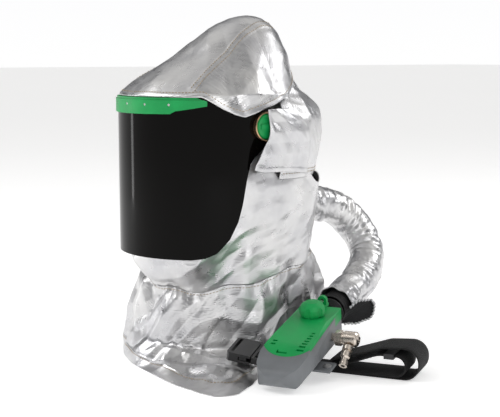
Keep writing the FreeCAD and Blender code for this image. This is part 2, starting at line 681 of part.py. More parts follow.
def slot_cutters():
    """Scale slots that grow along one edge of the cover, and a short row on the other edge."""
    tools = []
    slot_width, depth = 3.2, 1.7
    for step in range(7):
        x, reach = 47 + step * 6.6, 9.0 - step * 0.8
        tools.append(Part.makeBox(slot_width, reach, 8, Vector(x, -22, cover_top_z(x) - depth)))
    for step in range(2):
        x = 54 + step * 7
        tools.append(Part.makeBox(slot_width, 6, 8, Vector(x, 16, cover_top_z(x) - depth)))
    bar = Part.makeBox(2.4, 11, 8, Vector(41, -3, cover_top_z(41) - depth))
    tick = Part.makeBox(5, 2, 8, Vector(41, 8, cover_top_z(41) - depth))
    tools += [bar, tick]
    return tools


def cover_top_z(x):
    """Height of the cover's top line along the unit."""
    return 27 + (x - 8) * 15 / 47 if x < 55 else 42 + (x - 55) * 5 / 65


def build_unit_shell():
    blank = unit_blank()
    zone = cover_zone()
    valve_hole = Part.makeCylinder(6.05, 60, Vector(dim("valve_x"), 0, 20))
    cover = blank.common(zone)
    for tool in slot_cutters():
        cover = cover.cut(tool)
    housing = blank.cut(cover_zone(0.2))
    cavity = Part.makeBox(138, 42, 21.5, Vector(26, -21, 10))
    housing = housing.cut(cavity)
    for sign in (1, -1):
        for step in range(9):
            groove = Part.makeCylinder(1.6, 13, Vector(34 + step * 9.5, sign * 33.4, 16), Vector(0.35, 0, 1))
            housing = housing.cut(groove)
    axis_z = dim("axis_z")
    outlet = Part.makeCylinder(dim("spigot_radius") + 0.05, 30, Vector(160, 0, axis_z), Vector(1, 0, 0))
    inlet = Part.makeCylinder(5.05, 20, Vector(dim("inlet_x"), -40, 24), Vector(0, 1, 0))
    place_on_unit(feature("unit_cover", cover.cut(valve_hole).cut(outlet)))
    place_on_unit(feature("unit_housing", housing.cut(outlet).cut(inlet)))


def build_unit_inside():
    vortex = turned_piece("vortex_tube", [(0, 0), (70, 0), (70, 7), (22, 7), (22, 9), (0, 9)])
    place_inside(vortex, 34, -9, 20.5)
    place_inside(turned_piece("muffler", [(0, 0), (46, 0), (46, 8.5), (0, 8.5)]), 34, 11, 20.5)
    stem_x = dim("valve_x")
    stem = turned_piece("valve_stem", [(0, 26), (6, 26), (6, 62), (0, 62)], axis="V_Axis")
    place_inside(stem, stem_x, 0, 0)


def place_inside(body, x, y, z):
    """Stand a turned piece at a point of the unit's own frame."""
    spot = UNIT_TURN.multVec(Vector(x, y, z))
    body.Placement = Placement(Vector(0, 0, 0), UNIT_TURN)
    bind(body, "Placement.Base.x", "@head_across + @unit_x + %.4f" % spot.x)
    bind(body, "Placement.Base.y", "@head_fore + @unit_y + %.4f" % spot.y)
    bind(body, "Placement.Base.z", "@unit_z + %.4f" % spot.z)
    nodes.append(body)


def build_valve_knob():
    """Bulbous control knob with six finger lobes."""
    radius = dim("valve_radius")
    knob = new_body("valve_knob")
    base = new_sketch(knob, "valve_profile", "XZ_Plane")
    draw_polygon(base, [(6.05, 0), (radius - 1, 0), (radius, 3), (radius, 9), (radius - 3, 14),
                        (radius - 8, 17), (0, 17.6), (0, 15), (6.05, 15)])
    revolve(knob, base, "valve_turned", "V_Axis")
    flute = new_sketch(knob, "valve_flute", "XY_Plane")
    draw_circle(flute, "4.2", (radius + 2, 0))
    groove = pocket(knob, flute, "valve_flute_cut", 40, reverse=True)
    doc.recompute()
    pattern = knob.newObject("PartDesign::PolarPattern", "valve_flutes")
    pattern.Originals = [groove]
    pattern.Axis = (flute, ["N_Axis"])
    pattern.Angle = 360
    pattern.Occurrences = 6
    knob.Tip = pattern
    place_inside(knob, dim("valve_x"), 0, 47.3)


def build_outlet():
    length = dim("unit_length")
    axis_z = dim("axis_z")
    inner = dim("spigot_radius")
    spigot = [(0, 11), (0, 14), (32, 14), (32, 11)]
    place_inside(turned_piece("outlet_spigot", spigot), length - 12, 0, axis_z)
    outer, gap = dim("collar_radius"), 0.05
    profile = [(0.4, inner + gap), (19.6, inner + gap), (19.6, outer)]
    for rib in range(6):
        x = 18 - rib * 3
        profile += [(x, outer), (x - 0.6, outer - 1.3), (x - 2, outer - 1.3), (x - 2.6, outer)]
    profile.append((0.4, outer))
    place_inside(turned_piece("hose_collar", profile), length, 0, axis_z)
    latch = Part.makeBox(14, 12, 4, Vector(length - 14, -6, 43))
    eyelet = Part.makeCylinder(6, 5, Vector(length - 8, 0, 52), Vector(1, 0, 0))
    eyelet = eyelet.fuse(Part.makeBox(5, 12, 9, Vector(length - 8, -6, 43)))
    hole = Part.makeCylinder(2.6, 20, Vector(length - 12, 0, 52), Vector(1, 0, 0))
    place_on_unit(feature("hose_latch", latch.fuse(eyelet).cut(hole).cut(unit_blank(0.3))))


def hex_prism(across_flats, low, high, name, body):
    sketch = new_sketch(body, name, "YZ_Plane", low)
    reach = across_flats / math.sqrt(3)
    draw_polygon(sketch, [(reach * math.cos(math.radians(60 * k)), reach * math.sin(math.radians(60 * k)))
                          for k in range(6)])
    return pad(body, sketch, name + "_pad", high - low)


def build_inlet():
    """Nickel air inlet on the unit's side: hex fitting, swivel barrel, quick-connect plug."""
    side = Rotation(Vector(0, 0, 1), -90)
    adapter = new_body("inlet_adapter")
    thread = new_sketch(adapter, "inlet_thread", "YZ_Plane", -8)
    draw_circle(thread, "5")
    pad(adapter, thread, "inlet_thread_pad", 8.5)
    hex_prism(17, 0.4, 8.4, "inlet_hex", adapter)
    place_turned(adapter, dim("inlet_x"), -dim("unit_half_width"), 24, side)
    barrel = [(0, 0), (19, 0), (21.5, 4), (20, 7.5), (17.5, 9.5), (3, 9.5), (2, 8), (0, 8)]
    place_turned(turned_piece("swivel_barrel", barrel), dim("inlet_x"), -dim("unit_half_width") - 8.6, 24,
                 side)
    down = Rotation(Vector(0, 1, 0), 145)
    plug = [(9.6, 0), (11, 0), (11, 6.5), (17, 6.5), (17, 4.6), (20, 4.6), (20, 6), (26, 6), (28, 4.2),
            (33, 4.2), (33, 5), (38, 5), (38, 0)]
    plug_body = turned_piece("air_plug", plug)
    bore = new_sketch(plug_body, "plug_bore", "YZ_Plane", 38)
    draw_circle(bore, "2.6")
    doc.recompute()
    pocket(plug_body, bore, "plug_bore_cut", 20)
    place_turned(plug_body, dim("inlet_x"), -dim("unit_half_width") - 18.6, 24, down)


def place_turned(body, x, y, z, turn):
    spot = UNIT_TURN.multVec(Vector(x, y, z))
    body.Placement = Placement(Vector(0, 0, 0), UNIT_TURN.multiply(turn))
    bind(body, "Placement.Base.x", "@head_across + @unit_x + %.4f" % spot.x)
    bind(body, "Placement.Base.y", "@head_fore + @unit_y + %.4f" % spot.y)
    bind(body, "Placement.Base.z", "@unit_z + %.4f" % spot.z)
    nodes.append(body)


# ---- belt clip, belt and buckle ------------------------------------------------------------------------

def build_belt_clip():
    """Back plate under the unit with a spring clip, an ear at the side and its rivets."""
    base = dim("unit_base_z")
    plate = Part.makeBox(58, 40, 3, Vector(72, -20, base - 3.3))
    ear = Part.makeBox(24, 26, 3, Vector(72, -44, base - 3.3))
    plate = plate.fuse(ear).removeSplitter()
    drop = Part.makeBox(2, 30, 4, Vector(72, -15, base - 7))
    bar = Part.makeBox(50, 30, 1.6, Vector(72, -15, base - 7.2))
    lip = Part.makeBox(3, 30, 1.6, Vector(119, -15, base - 6.2))
    clip = plate.fuse(drop).fuse(bar).fuse(lip)
    rivet_spot = Vector(84, -37, base - 4)
    clip = clip.cut(Part.makeCylinder(2.1, 6, rivet_spot))
    place_on_unit(feature("belt_clip", clip))
    rivet_head = Part.makeCylinder(5, 1.4, Vector(84, -37, base - 0.2))
    rivet = Part.makeCylinder(2, 4.2, rivet_spot).fuse(rivet_head)
    place_on_unit(feature("clip_rivet", rivet))
    screws = []
    for x, y in ((28, -14), (28, 14), (150, -16), (150, 16)):
        head = Part.makeCylinder(3, 0.8, Vector(x, y, base - 0.9))
        screws.append(head.cut(Part.makeBox(4.4, 0.8, 0.5, Vector(x - 2.2, y - 0.4, base - 1.0))))
    place_on_unit(feature("housing_screws", Part.makeCompound(screws)))


def ribbon(route, radii, thickness, width):
    """Webbing along a route in the local XZ plane, rounded at each inner point of the route."""
    points = [Vector(x, -width / 2, z) for x, z in route]
    runs = [(b - a).normalize() for a, b in zip(points, points[1:])]
    normals = [Vector(-run.z, 0, run.x) for run in runs]
    sides = {}
    for offset in (-thickness / 2, thickness / 2):
        edges = []
        start = points[0] + normals[0] * offset
        for index, radius in enumerate(radii):
            corner = points[index + 1]
            back, ahead = -runs[index], runs[index + 1]
            half = back.getAngle(ahead) / 2
            reach = radius / math.tan(half)
            bisector = (back + ahead).normalize()
            centre = corner + bisector * (radius / math.sin(half))
            first = corner + back * reach + normals[index] * offset
            last = corner + ahead * reach + normals[index + 1] * offset
            middle = centre - bisector * (first - centre).Length
            edges.append(Part.makeLine(start, first))
            edges.append(Part.Arc(first, middle, last).toShape())
            start = last
        edges.append(Part.makeLine(start, points[-1] + normals[-1] * offset))
        sides[offset] = edges
    low, high = sides[-thickness / 2], sides[thickness / 2]
    ends = [Part.makeLine(low[0].firstVertex().Point, high[0].firstVertex().Point),
            Part.makeLine(low[-1].lastVertex().Point, high[-1].lastVertex().Point)]
    face = Part.Face(Part.Wire(Part.__sortEdges__(low + high + ends)))
    solid = face.extrude(Vector(0, width, 0))
    return solid if solid.Volume > 0 else solid.reversed()


# along the belt and up: lower run on the ground, wide loop, fold beside the unit, narrow loop inside
BELT_ROUTE = [(-10, 0.9), (136, 0.9), (136, 40), (90, 36.6), (40, 19), (26, 16.5), (26, 11), (44, 11.5),
              (86, 28), (120, 28), (120, 3.6), (40, 2.75)]
BELT_RADII = [18, 18, 30, 20, 2.6, 2.6, 30, 30, 11.5, 11.5]
# from the tongue's slot under its bar, then down and away under the unit
STRAP_ROUTE = [(9.1, 29.5), (9.1, 17.8), (17, 17.2), (31, 5.0), (54, 4.0)]
STRAP_RADII = [2.4, 8, 12]


def place_with(obj, x, y, z, turn):
    obj.Placement = Placement(Vector(0, 0, 0), turn)
    bind(obj, "Placement.Base.x", "@head_across + " + x)
    bind(obj, "Placement.Base.y", "@head_fore + " + y)
    bind(obj, "Placement.Base.z", z)
    nodes.append(obj)


BUCKLE_TURN = Rotation(dim("buckle_heading"), dim("buckle_dip"), dim("buckle_lean"))


def place_on_buckle(obj):
    place_with(obj, "@buckle_x", "@buckle_y", "@buckle_z", BUCKLE_TURN)


def build_belt():
    thick, width = dim("belt_thick"), dim("belt_width")
    belt = feature("belt_webbing", ribbon(BELT_ROUTE, BELT_RADII, thick, width))
    place_with(belt, "@belt_x", "@belt_y", "0", Rotation(dim("belt_heading"), 0, 0))
    strap = ribbon(STRAP_ROUTE, STRAP_RADII, thick, 36)
    strap = feature("buckle_strap", strap)
    place_with(strap, "@buckle_x", "@buckle_y", "0", Rotation(dim("buckle_heading"), 0, 0))
    slider = Part.makeBox(12, 56, 6.4, Vector(94, -28, 24.8))
    slot = Part.makeBox(30, 50.6, 2.4, Vector(88, -25.3, 26.8))
    slider = feature("belt_slider", slider.cut(slot))
    place_with(slider, "@belt_x", "@belt_y", "0", Rotation(dim("belt_heading"), 0, 0))


def build_buckle():
    half, deep = dim("buckle_width") / 2, dim("buckle_height") / 2
    outline = [(-27, -half + 3), (-24, -half), (3, -half), (3, half), (-24, half), (-27, half - 3)]
    face = Part.Face(Part.makePolygon([Vector(x, y, -deep) for x, y in outline + outline[:1]]))
    socket = face.extrude(Vector(0, 0, 2 * deep))
    socket = socket.cut(Part.makeBox(20, 34, 6.4, Vector(-15, -17, -3.2)))
    for sign in (1, -1):
        socket = socket.cut(Part.makeBox(16, 14, 4.6, Vector(-12, sign * 20 - 7, -2.3)))
    socket = socket.cut(Part.makeBox(4, 39, 20, Vector(-23.5, -19.5, -10)))
    place_on_buckle(feature("buckle_socket", socket))
    tongue = Part.makeBox(11, 2 * half - 2, 8, Vector(3.3, -half + 1, -4))
    tongue = tongue.makeFillet(2, [edge for edge in tongue.Edges if abs(edge.tangentAt(0).z) > 0.9])
    tongue = tongue.cut(Part.makeBox(4, 39, 20, Vector(7, -19.5, -10)))
    tongue = tongue.fuse(Part.makeBox(15, 7, 5, Vector(-10, -3.5, -2.5)))
    place_on_buckle(feature("buckle_tongue", tongue))
    for side, sign in (("near", -1), ("far", 1)):
        arm = Part.makeBox(14, 3.4, 4.2, Vector(-11, sign * 12 - 1.7, -2.1))
        tab = Part.makeBox(9, 9.4, 4.2, Vector(-11, sign * 17.4 - 4.7, -2.1))
        place_on_buckle(feature("buckle_prong_" + side, arm.fuse(tab).removeSplitter()))


def build_sleeve_flap():
    """Open end of the sleeve: a leaf of lined fabric that hangs beside the collar."""
    across, toward = Vector(0.5736, 0.8192, 0), Vector(0.8192, -0.5736, 0)
    leaf = [(131, 50), (144, 64), (156.5, 73), (164, 76.5), (170, 75), (172.5, 67), (169, 54), (158, 42),
            (152, 33.5), (132, 44)]
    corners = [across * a + toward * 61 + Vector(0, 0, z) for a, z in leaf]
    face = Part.Face(Part.makePolygon(corners + corners[:1]))
    place_on_head(feature("sleeve_flap", face.extrude(toward * 1.5)))


build_cap()
build_duct()
build_hose_inlet()
build_suspension()
build_face_frame()
build_pivots()
build_visor()
build_crown_cover()
build_hood_rear()
build_cheek_panels()
build_shroud()
build_cape()
build_hose()
build_unit_shell()
build_unit_inside()
build_valve_knob()
build_outlet()
build_inlet()
build_belt_clip()
build_belt()
build_buckle()
build_sleeve_flap()

doc.recompute()
broken = [obj.Label for obj in doc.Objects if {"Invalid", "Error"} & set(obj.State)]
assert not broken, broken
for node in nodes:
    assert not node.Shape.isNull() and node.Shape.isValid(), node.Label
    node.Shape.exportStep("parts/%s.step" % node.Label)
print(len(nodes), "sub-parts")
everything = Part.makeCompound([node.Shape for node in nodes])
print("box", everything.BoundBox)
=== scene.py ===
import json
import math

import bpy
import numpy as np
from mathutils import Matrix, Vector


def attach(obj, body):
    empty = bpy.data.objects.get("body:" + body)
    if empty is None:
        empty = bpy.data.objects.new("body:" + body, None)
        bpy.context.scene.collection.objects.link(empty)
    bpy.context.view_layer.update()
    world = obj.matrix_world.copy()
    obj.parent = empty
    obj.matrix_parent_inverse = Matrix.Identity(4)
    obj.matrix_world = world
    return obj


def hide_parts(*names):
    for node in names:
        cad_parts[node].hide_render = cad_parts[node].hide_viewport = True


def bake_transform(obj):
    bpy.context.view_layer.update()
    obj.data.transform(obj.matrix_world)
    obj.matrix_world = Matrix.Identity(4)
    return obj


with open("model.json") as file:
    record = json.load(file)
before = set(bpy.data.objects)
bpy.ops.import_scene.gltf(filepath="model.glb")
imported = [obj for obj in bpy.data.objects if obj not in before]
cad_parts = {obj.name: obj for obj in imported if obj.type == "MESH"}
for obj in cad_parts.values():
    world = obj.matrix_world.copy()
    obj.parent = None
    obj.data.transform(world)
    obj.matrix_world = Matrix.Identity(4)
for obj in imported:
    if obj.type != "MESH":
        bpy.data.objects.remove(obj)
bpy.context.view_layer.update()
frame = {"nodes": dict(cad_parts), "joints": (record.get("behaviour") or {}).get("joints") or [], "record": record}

TAU = 2 * math.pi
MM = 0.001

# ---- places, read from the frame -------------------------------------------------------------

joints = {joint["name"]: joint for joint in frame["joints"]}
pivot = Vector(joints["visor_flip"]["pos_m"])
HEAD = Vector((pivot.x, pivot.y + 37 * MM, 0))
collar_axis = Vector(joints["collar_turn"]["axis"]).normalized()
valve_axis = Vector(joints["valve_turn"]["axis"]).normalized()
UNIT_ORIGIN = Vector(joints["collar_turn"]["pos_m"]) - collar_axis * 180 * MM - valve_axis * 26 * MM
UNIT = Matrix((collar_axis, valve_axis.cross(collar_axis), valve_axis)).transposed().to_4x4()
UNIT.translation = UNIT_ORIGIN


def head(points):
    """Millimetres about the head axis to metres in the part's frame."""
    return np.asarray(points, float) * MM + np.array(HEAD)


# ---- materials --------------------------------------------------------------------------------

def new_material(name, colour, roughness, metallic=0.0, **shader):
    """A Principled material whose constant values sit on the shader's own sockets."""
    material = bpy.data.materials.new(name)
    material.use_nodes = True
    nodes = material.node_tree.nodes
    principled = nodes["Principled BSDF"]
    principled.inputs["Base Color"].default_value = (*colour, 1)
    principled.inputs["Roughness"].default_value = roughness
    principled.inputs["Metallic"].default_value = metallic
    for socket, value in shader.items():
        principled.inputs[socket.replace("_", " ")].default_value = value
    return material, material.node_tree, principled


def texture(tree, kind, **values):
    node = tree.nodes.new("ShaderNodeTex" + kind)
    for name, value in values.items():
        if name in node.inputs:
            node.inputs[name].default_value = value
        else:
            setattr(node, name, value)
    return node


def coordinates(tree, kind="Object", scale=(1, 1, 1), turn=(0, 0, 0)):
    source = tree.nodes.new("ShaderNodeTexCoord")
    mapping = tree.nodes.new("ShaderNodeMapping")
    mapping.inputs["Scale"].default_value = scale
    mapping.inputs["Rotation"].default_value = turn
    tree.links.new(source.outputs[kind], mapping.inputs["Vector"])
    return mapping.outputs["Vector"]


def ramp(tree, value, stops):
    node = tree.nodes.new("ShaderNodeValToRGB")
    elements = node.color_ramp.elements
    while len(elements) < len(stops):
        elements.new(0.5)
    for element, (place, colour) in zip(elements, stops):
        element.position = place
        element.color = (*colour, 1)
    tree.links.new(value, node.inputs["Fac"])
    return node.outputs["Color"]


def bump(tree, height, strength, distance, before=None):
    node = tree.nodes.new("ShaderNodeBump")
    node.inputs["Strength"].default_value = strength
    node.inputs["Distance"].default_value = distance
    tree.links.new(height, node.inputs["Height"])
    if before:
        tree.links.new(before, node.inputs["Normal"])
    return node.outputs["Normal"]


def moulded(name, colour, roughness=0.42, grain=0.12, **shader):
    """Moulded plastic: fine spark-eroded grain, faint colour drift and rubbed patches."""
    material, tree, principled = new_material(name, colour, roughness, **shader)
    vector = coordinates(tree)
    fine = texture(tree, "Noise", Scale=2600.0, Detail=2.0)
    broad = texture(tree, "Noise", Scale=38.0, Detail=5.0)
    for node in (fine, broad):
        tree.links.new(vector, node.inputs["Vector"])
    dark = tuple(c * 0.86 for c in colour)
    light = tuple(min(1, c * 1.1 + 0.004) for c in colour)
    tree.links.new(ramp(tree, broad.outputs["Fac"], [(0.3, dark), (0.7, light)]),
                   principled.inputs["Base Color"])
    low, high = roughness - 0.06, roughness + 0.08
    tree.links.new(ramp(tree, broad.outputs["Fac"], [(0.25, (low,) * 3), (0.75, (high,) * 3)]),
                   principled.inputs["Roughness"])
    tree.links.new(bump(tree, fine.outputs["Fac"], grain, 0.0002), principled.inputs["Normal"])
    return material


def aluminised(name, weave=0.22):
    """Aluminised cloth: bright film over a woven ground, with fine crush creases."""
    material, tree, principled = new_material(name, (0.8, 0.8, 0.81), 0.36, 0.95)
    vector = coordinates(tree)
    crease = texture(tree, "Voronoi", Scale=44.0, feature="DISTANCE_TO_EDGE")
    crush = texture(tree, "Noise", Scale=60.0, Detail=7.0, Roughness=0.55, Distortion=0.8)
    drift = texture(tree, "Noise", Scale=16.0, Detail=5.0)
    for node in (crease, crush, drift):
        tree.links.new(vector, node.inputs["Vector"])
    diagonal = coordinates(tree, turn=(0.35, 0.5, 0.78))
    warp = texture(tree, "Wave", Scale=165.0, Distortion=1.2, wave_type="BANDS", bands_direction="X")
    weft = texture(tree, "Wave", Scale=165.0, Distortion=1.2, wave_type="BANDS", bands_direction="Z")
    for node in (warp, weft):
        tree.links.new(diagonal, node.inputs["Vector"])
    tree.links.new(ramp(tree, drift.outputs["Fac"], [(0.3, (0.54, 0.54, 0.56)), (0.7, (0.74, 0.735, 0.73))]),
                   principled.inputs["Base Color"])
    tree.links.new(ramp(tree, crush.outputs["Fac"], [(0.3, (0.24,) * 3), (0.72, (0.4,) * 3)]),
                   principled.inputs["Roughness"])
    weave_height = tree.nodes.new("ShaderNodeMath")
    weave_height.operation = "MULTIPLY"
    tree.links.new(warp.outputs["Fac"], weave_height.inputs[0])
    tree.links.new(weft.outputs["Fac"], weave_height.inputs[1])
    normal = bump(tree, weave_height.outputs[0], weave, 0.0005)
    normal = bump(tree, crush.outputs["Fac"], 0.22, 0.0012, normal)
    normal = bump(tree, crease.outputs["Distance"], 0.2, 0.0014, normal)
    tree.links.new(normal, principled.inputs["Normal"])
    return material


def woven(name, colour, scale, roughness=0.8, sheen=0.25):
    """Webbing or knit: crossed ribs with a soft sheen."""
    material, tree, principled = new_material(name, colour, roughness, Sheen_Weight=sheen)
    vector = coordinates(tree, turn=(0, 0, 0.56))
    ribs = texture(tree, "Wave", Scale=scale, Distortion=0.3, wave_type="BANDS", bands_direction="X")
    cross = texture(tree, "Wave", Scale=scale * 0.7, Distortion=0.5, wave_type="BANDS", bands_direction="Y")
    fuzz = texture(tree, "Noise", Scale=700.0, Detail=4.0)
    for node in (ribs, cross, fuzz):
        tree.links.new(vector, node.inputs["Vector"])
    dark = tuple(c * 0.5 for c in colour)
    light = tuple(c * 1.5 + 0.001 for c in colour)
    tree.links.new(ramp(tree, fuzz.outputs["Fac"], [(0.3, dark), (0.75, light)]),
                   principled.inputs["Base Color"])
    normal = bump(tree, ribs.outputs["Fac"], 0.5, 0.0005)
    normal = bump(tree, cross.outputs["Fac"], 0.35, 0.0004, normal)
    tree.links.new(normal, principled.inputs["Normal"])
    return material


def plated(name, colour, roughness):
    """Plated or bare metal with fine turning marks and handling marks."""
    material, tree, principled = new_material(name, colour, roughness, 1.0)
    vector = coordinates(tree)
    marks = texture(tree, "Noise", Scale=320.0, Detail=5.0)
    turning = texture(tree, "Wave", Scale=900.0, Distortion=1.5, wave_type="RINGS")
    for node in (marks, turning):
        tree.links.new(vector, node.inputs["Vector"])
    tree.links.new(ramp(tree, marks.outputs["Fac"], [(0.3, (roughness * 0.7,) * 3),
                                                     (0.75, (roughness * 1.5,) * 3)]),
                   principled.inputs["Roughness"])
    tree.links.new(bump(tree, turning.outputs["Fac"], 0.08, 0.0001), principled.inputs["Normal"])
    return material


def tinted(name):
    """Polished dark lens with the faintest moulding ripple and dust."""
    material, tree, principled = new_material(name, (0.002, 0.0017, 0.0015), 0.07, IOR=1.42,
                                              Specular_IOR_Level=0.12)
    vector = coordinates(tree)
    ripple = texture(tree, "Noise", Scale=9.0, Detail=1.0)
    dust = texture(tree, "Noise", Scale=420.0, Detail=8.0, Roughness=0.7)
    for node in (ripple, dust):
        tree.links.new(vector, node.inputs["Vector"])
    tree.links.new(ramp(tree, dust.outputs["Fac"], [(0.45, (0.06,) * 3), (0.8, (0.13,) * 3)]),
                   principled.inputs["Roughness"])
    tree.links.new(bump(tree, ripple.outputs["Fac"], 0.05, 0.002), principled.inputs["Normal"])
    return material


def clear(name):
    material, tree, principled = new_material(name, (0.93, 0.95, 0.96), 0.05, IOR=1.49,
                                              Transmission_Weight=0.9)
    smear = texture(tree, "Noise", Scale=60.0, Detail=4.0)
    tree.links.new(coordinates(tree), smear.inputs["Vector"])
    tree.links.new(ramp(tree, smear.outputs["Fac"], [(0.4, (0.03,) * 3), (0.8, (0.1,) * 3)]),
                   principled.inputs["Roughness"])
    return material


MATERIALS = {
    "aluminised_fabric": aluminised("aluminised_cloth"),
    "green_plastic": moulded("green_moulding", (0.0, 0.33, 0.075), 0.4, Specular_IOR_Level=0.4),
    "grey_plastic": moulded("grey_moulding", (0.155, 0.165, 0.175), 0.46),
    "black_plastic": moulded("black_moulding", (0.012, 0.012, 0.013), 0.38),
    "shell_plastic": moulded("pale_moulding", (0.62, 0.62, 0.6), 0.4),
    "tinted_lens": tinted("tinted_lens"),
    "clear_lens": clear("clear_window"),
    "webbing": woven("webbing", (0.004, 0.004, 0.0045), 420.0, 0.85, 0.02),
    "knit": woven("rib_knit", (0.03, 0.03, 0.034), 260.0),
    "nickel": plated("nickel", (0.66, 0.59, 0.52), 0.24),
    "bronze": plated("bronze", (0.62, 0.4, 0.24), 0.34),
    "steel": plated("steel", (0.58, 0.58, 0.58), 0.32),
    "rubber": moulded("rubber", (0.014, 0.014, 0.015), 0.62, 0.25),
    "foam": moulded("foam", (0.05, 0.05, 0.052), 0.9, 0.8),
}
THREAD = moulded("tan_thread", (0.42, 0.33, 0.22), 0.8, 0.5)
LINING = woven("black_lining", (0.016, 0.016, 0.018), 520.0)

slots_missing = {entry["material_slot"] for entry in frame["record"]["subparts"]} - set(MATERIALS)
assert not slots_missing, slots_missing
for entry in frame["record"]["subparts"]:
    node = frame["nodes"][entry["node"]]
    node.data.materials.clear()
    node.data.materials.append(MATERIALS[entry["material_slot"]])


def soften(names, width):
    """Small moulded radii on the edges of CAD pieces."""
    for name in names:
        bevel = frame["nodes"][name].modifiers.new("edge_radius", "BEVEL")
        bevel.width = width
        bevel.segments = 2
        bevel.limit_method = "ANGLE"
        bevel.angle_limit = math.radians(38)
        bevel.harden_normals = True


soften(["unit_cover", "unit_housing", "visor_brow_band"], 0.8 * MM)
soften(["buckle_socket", "buckle_tongue", "belt_clip", "belt_slider", "hose_latch",
        "ratchet_housing"], 0.5 * MM)
soften(["inlet_adapter", "air_plug", "swivel_barrel", "hose_collar"], 0.3 * MM)


# ---- mesh helpers --------------------------------------------------------------------------------

def smooth_through(x, xs, ys):
    """Cubic through (xs, ys) with finite-difference slopes."""
    xs, ys = np.asarray(xs, float), np.asarray(ys, float)
    slopes = np.gradient(ys, xs)
    x = np.clip(x, xs[0], xs[-1])
    k = np.clip(np.searchsorted(xs, x) - 1, 0, len(xs) - 2)
    span = xs[k + 1] - xs[k]
    s = (x - xs[k]) / span
    return ((2 * s**3 - 3 * s**2 + 1) * ys[k] + (s**3 - 2 * s**2 + s) * span * slopes[k]
            + (3 * s**2 - 2 * s**3) * ys[k + 1] + (s**3 - s**2) * span * slopes[k + 1])


def crumple(points, seed, size, height, layers=7):
    """Crushed-foil relief: folded ridges in several directions, uneven over the cloth."""
    rng = np.random.default_rng(seed)
    phase = rng.uniform(0, TAU, 3)
    bent = points + 0.32 * size * np.sin(points[..., [1, 2, 0]] / size * 1.9 + phase)
    total = np.zeros(points.shape[:-1])
    for layer in range(layers):
        along, patch = rng.normal(size=(2, 3))
        along /= np.linalg.norm(along)
        patch /= np.linalg.norm(patch)
        wave = size * rng.uniform(0.75, 1.7) / (1 + 0.35 * layer)
        ridge = 4 * np.abs((bent @ along / wave + rng.random()) % 1 - 0.5) - 1
        where = 0.5 + 0.5 * np.sin(points @ patch / (1.3 * size) + rng.uniform(0, TAU))
        total += ridge * where * height / (1 + 0.5 * layer)
    return total


def grid_normals(grid, closed):
    if closed:
        around = np.roll(grid, -1, 0) - np.roll(grid, 1, 0)
    else:
        around = np.gradient(grid, axis=0)
    normal = np.cross(around, np.gradient(grid, axis=1))
    return normal / np.maximum(np.linalg.norm(normal, axis=-1, keepdims=True), 1e-9)


def push(grid, amount, closed):
    return grid + grid_normals(grid, closed) * amount[..., None]


def grid_object(name, grid, closed, slot, body, thickness=1.2, material=None):
    """A cloth piece from a grid of millimetre points about the head axis."""
    count_u, count_v = grid.shape[:2]
    points = head(grid.reshape(-1, 3))
    faces = []
    for i in range(count_u if closed else count_u - 1):
        j = (i + 1) % count_u
        for k in range(count_v - 1):
            faces.append((i * count_v + k, j * count_v + k, j * count_v + k + 1, i * count_v + k + 1))
    mesh = bpy.data.meshes.new(name)
    mesh.from_pydata(points.tolist(), [], faces)
    mesh.polygons.foreach_set("use_smooth", [True] * len(mesh.polygons))
    piece = bpy.data.objects.new(name, mesh)
    bpy.context.scene.collection.objects.link(piece)
    mesh.materials.append(material or MATERIALS[slot])
    if thickness:
        solid = piece.modifiers.new("cloth_thickness", "SOLIDIFY")
        solid.thickness = thickness * MM
        solid.offset = -1
    if body:
        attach(piece, body)
    return piece


def on_grid(grid, u, v):
    """Points of a grid at fractional grid places."""
    u = np.clip(u, 0, grid.shape[0] - 1.001)
    v = np.clip(v, 0, grid.shape[1] - 1.001)
    i, k = u.astype(int), v.astype(int)
    a, b = (u - i)[:, None], (v - k)[:, None]
    return ((1 - a) * (1 - b) * grid[i, k] + a * (1 - b) * grid[i + 1, k]
            + (1 - a) * b * grid[i, k + 1] + a * b * grid[i + 1, k + 1])


def stitches(name, line, normals, body, pitch=4.2, length=2.8, radius=0.42):
    """Short thread dashes along a line of millimetre points about the head axis."""
    steps = np.linalg.norm(np.diff(line, axis=0), axis=1)
    run = np.concatenate([[0], np.cumsum(steps)])
    starts = np.arange(0, run[-1] - length, pitch)
    verts, faces = [], []
    for start in starts:
        ends = [np.array([np.interp(s, run, line[:, c]) for c in range(3)]) for s in (start, start + length)]
        up = np.array([np.interp(start, run, normals[:, c]) for c in range(3)])
        along = ends[1] - ends[0]
        side = np.cross(along, up)
        side /= max(np.linalg.norm(side), 1e-9)
        base = len(verts)
        for place, size in ((0.0, 0.4), (0.25, 1.0), (0.75, 1.0), (1.0, 0.4)):
            centre = ends[0] + along * place + up * 0.25
            for turn in range(6):
                angle = TAU * turn / 6
                verts.append(centre + radius * size * (side * math.cos(angle) + up * math.sin(angle)))
        for ring in range(3):
            for turn in range(6):
                a = base + ring * 6 + turn
                b = base + ring * 6 + (turn + 1) % 6
                faces.append((a, b, b + 6, a + 6))
        faces.append(tuple(base + k for k in range(5, -1, -1)))
        faces.append(tuple(base + 18 + k for k in range(6)))
    mesh = bpy.data.meshes.new(name)
    mesh.from_pydata(head(np.array(verts)).tolist(), [], faces)
    mesh.polygons.foreach_set("use_smooth", [True] * len(mesh.polygons))
    mesh.materials.append(THREAD)
    piece = bpy.data.objects.new(name, mesh)
    bpy.context.scene.collection.objects.link(piece)
    if body:
        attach(piece, body)
    return piece


def stitch_rows(name, grid, closed, u, v, offsets, body):
    """Parallel rows of stitches; offsets are in grid steps across the line."""
    normals = grid_normals(grid, closed)
    made = []
    for row, (du, dv) in enumerate(offsets):
        line = on_grid(grid, u + du, v + dv)
        facing = on_grid(normals, u + du, v + dv)
        made.append(stitches("%s_%d" % (name, row + 1), line, facing, body))
    return made


# ---- crown cover ----

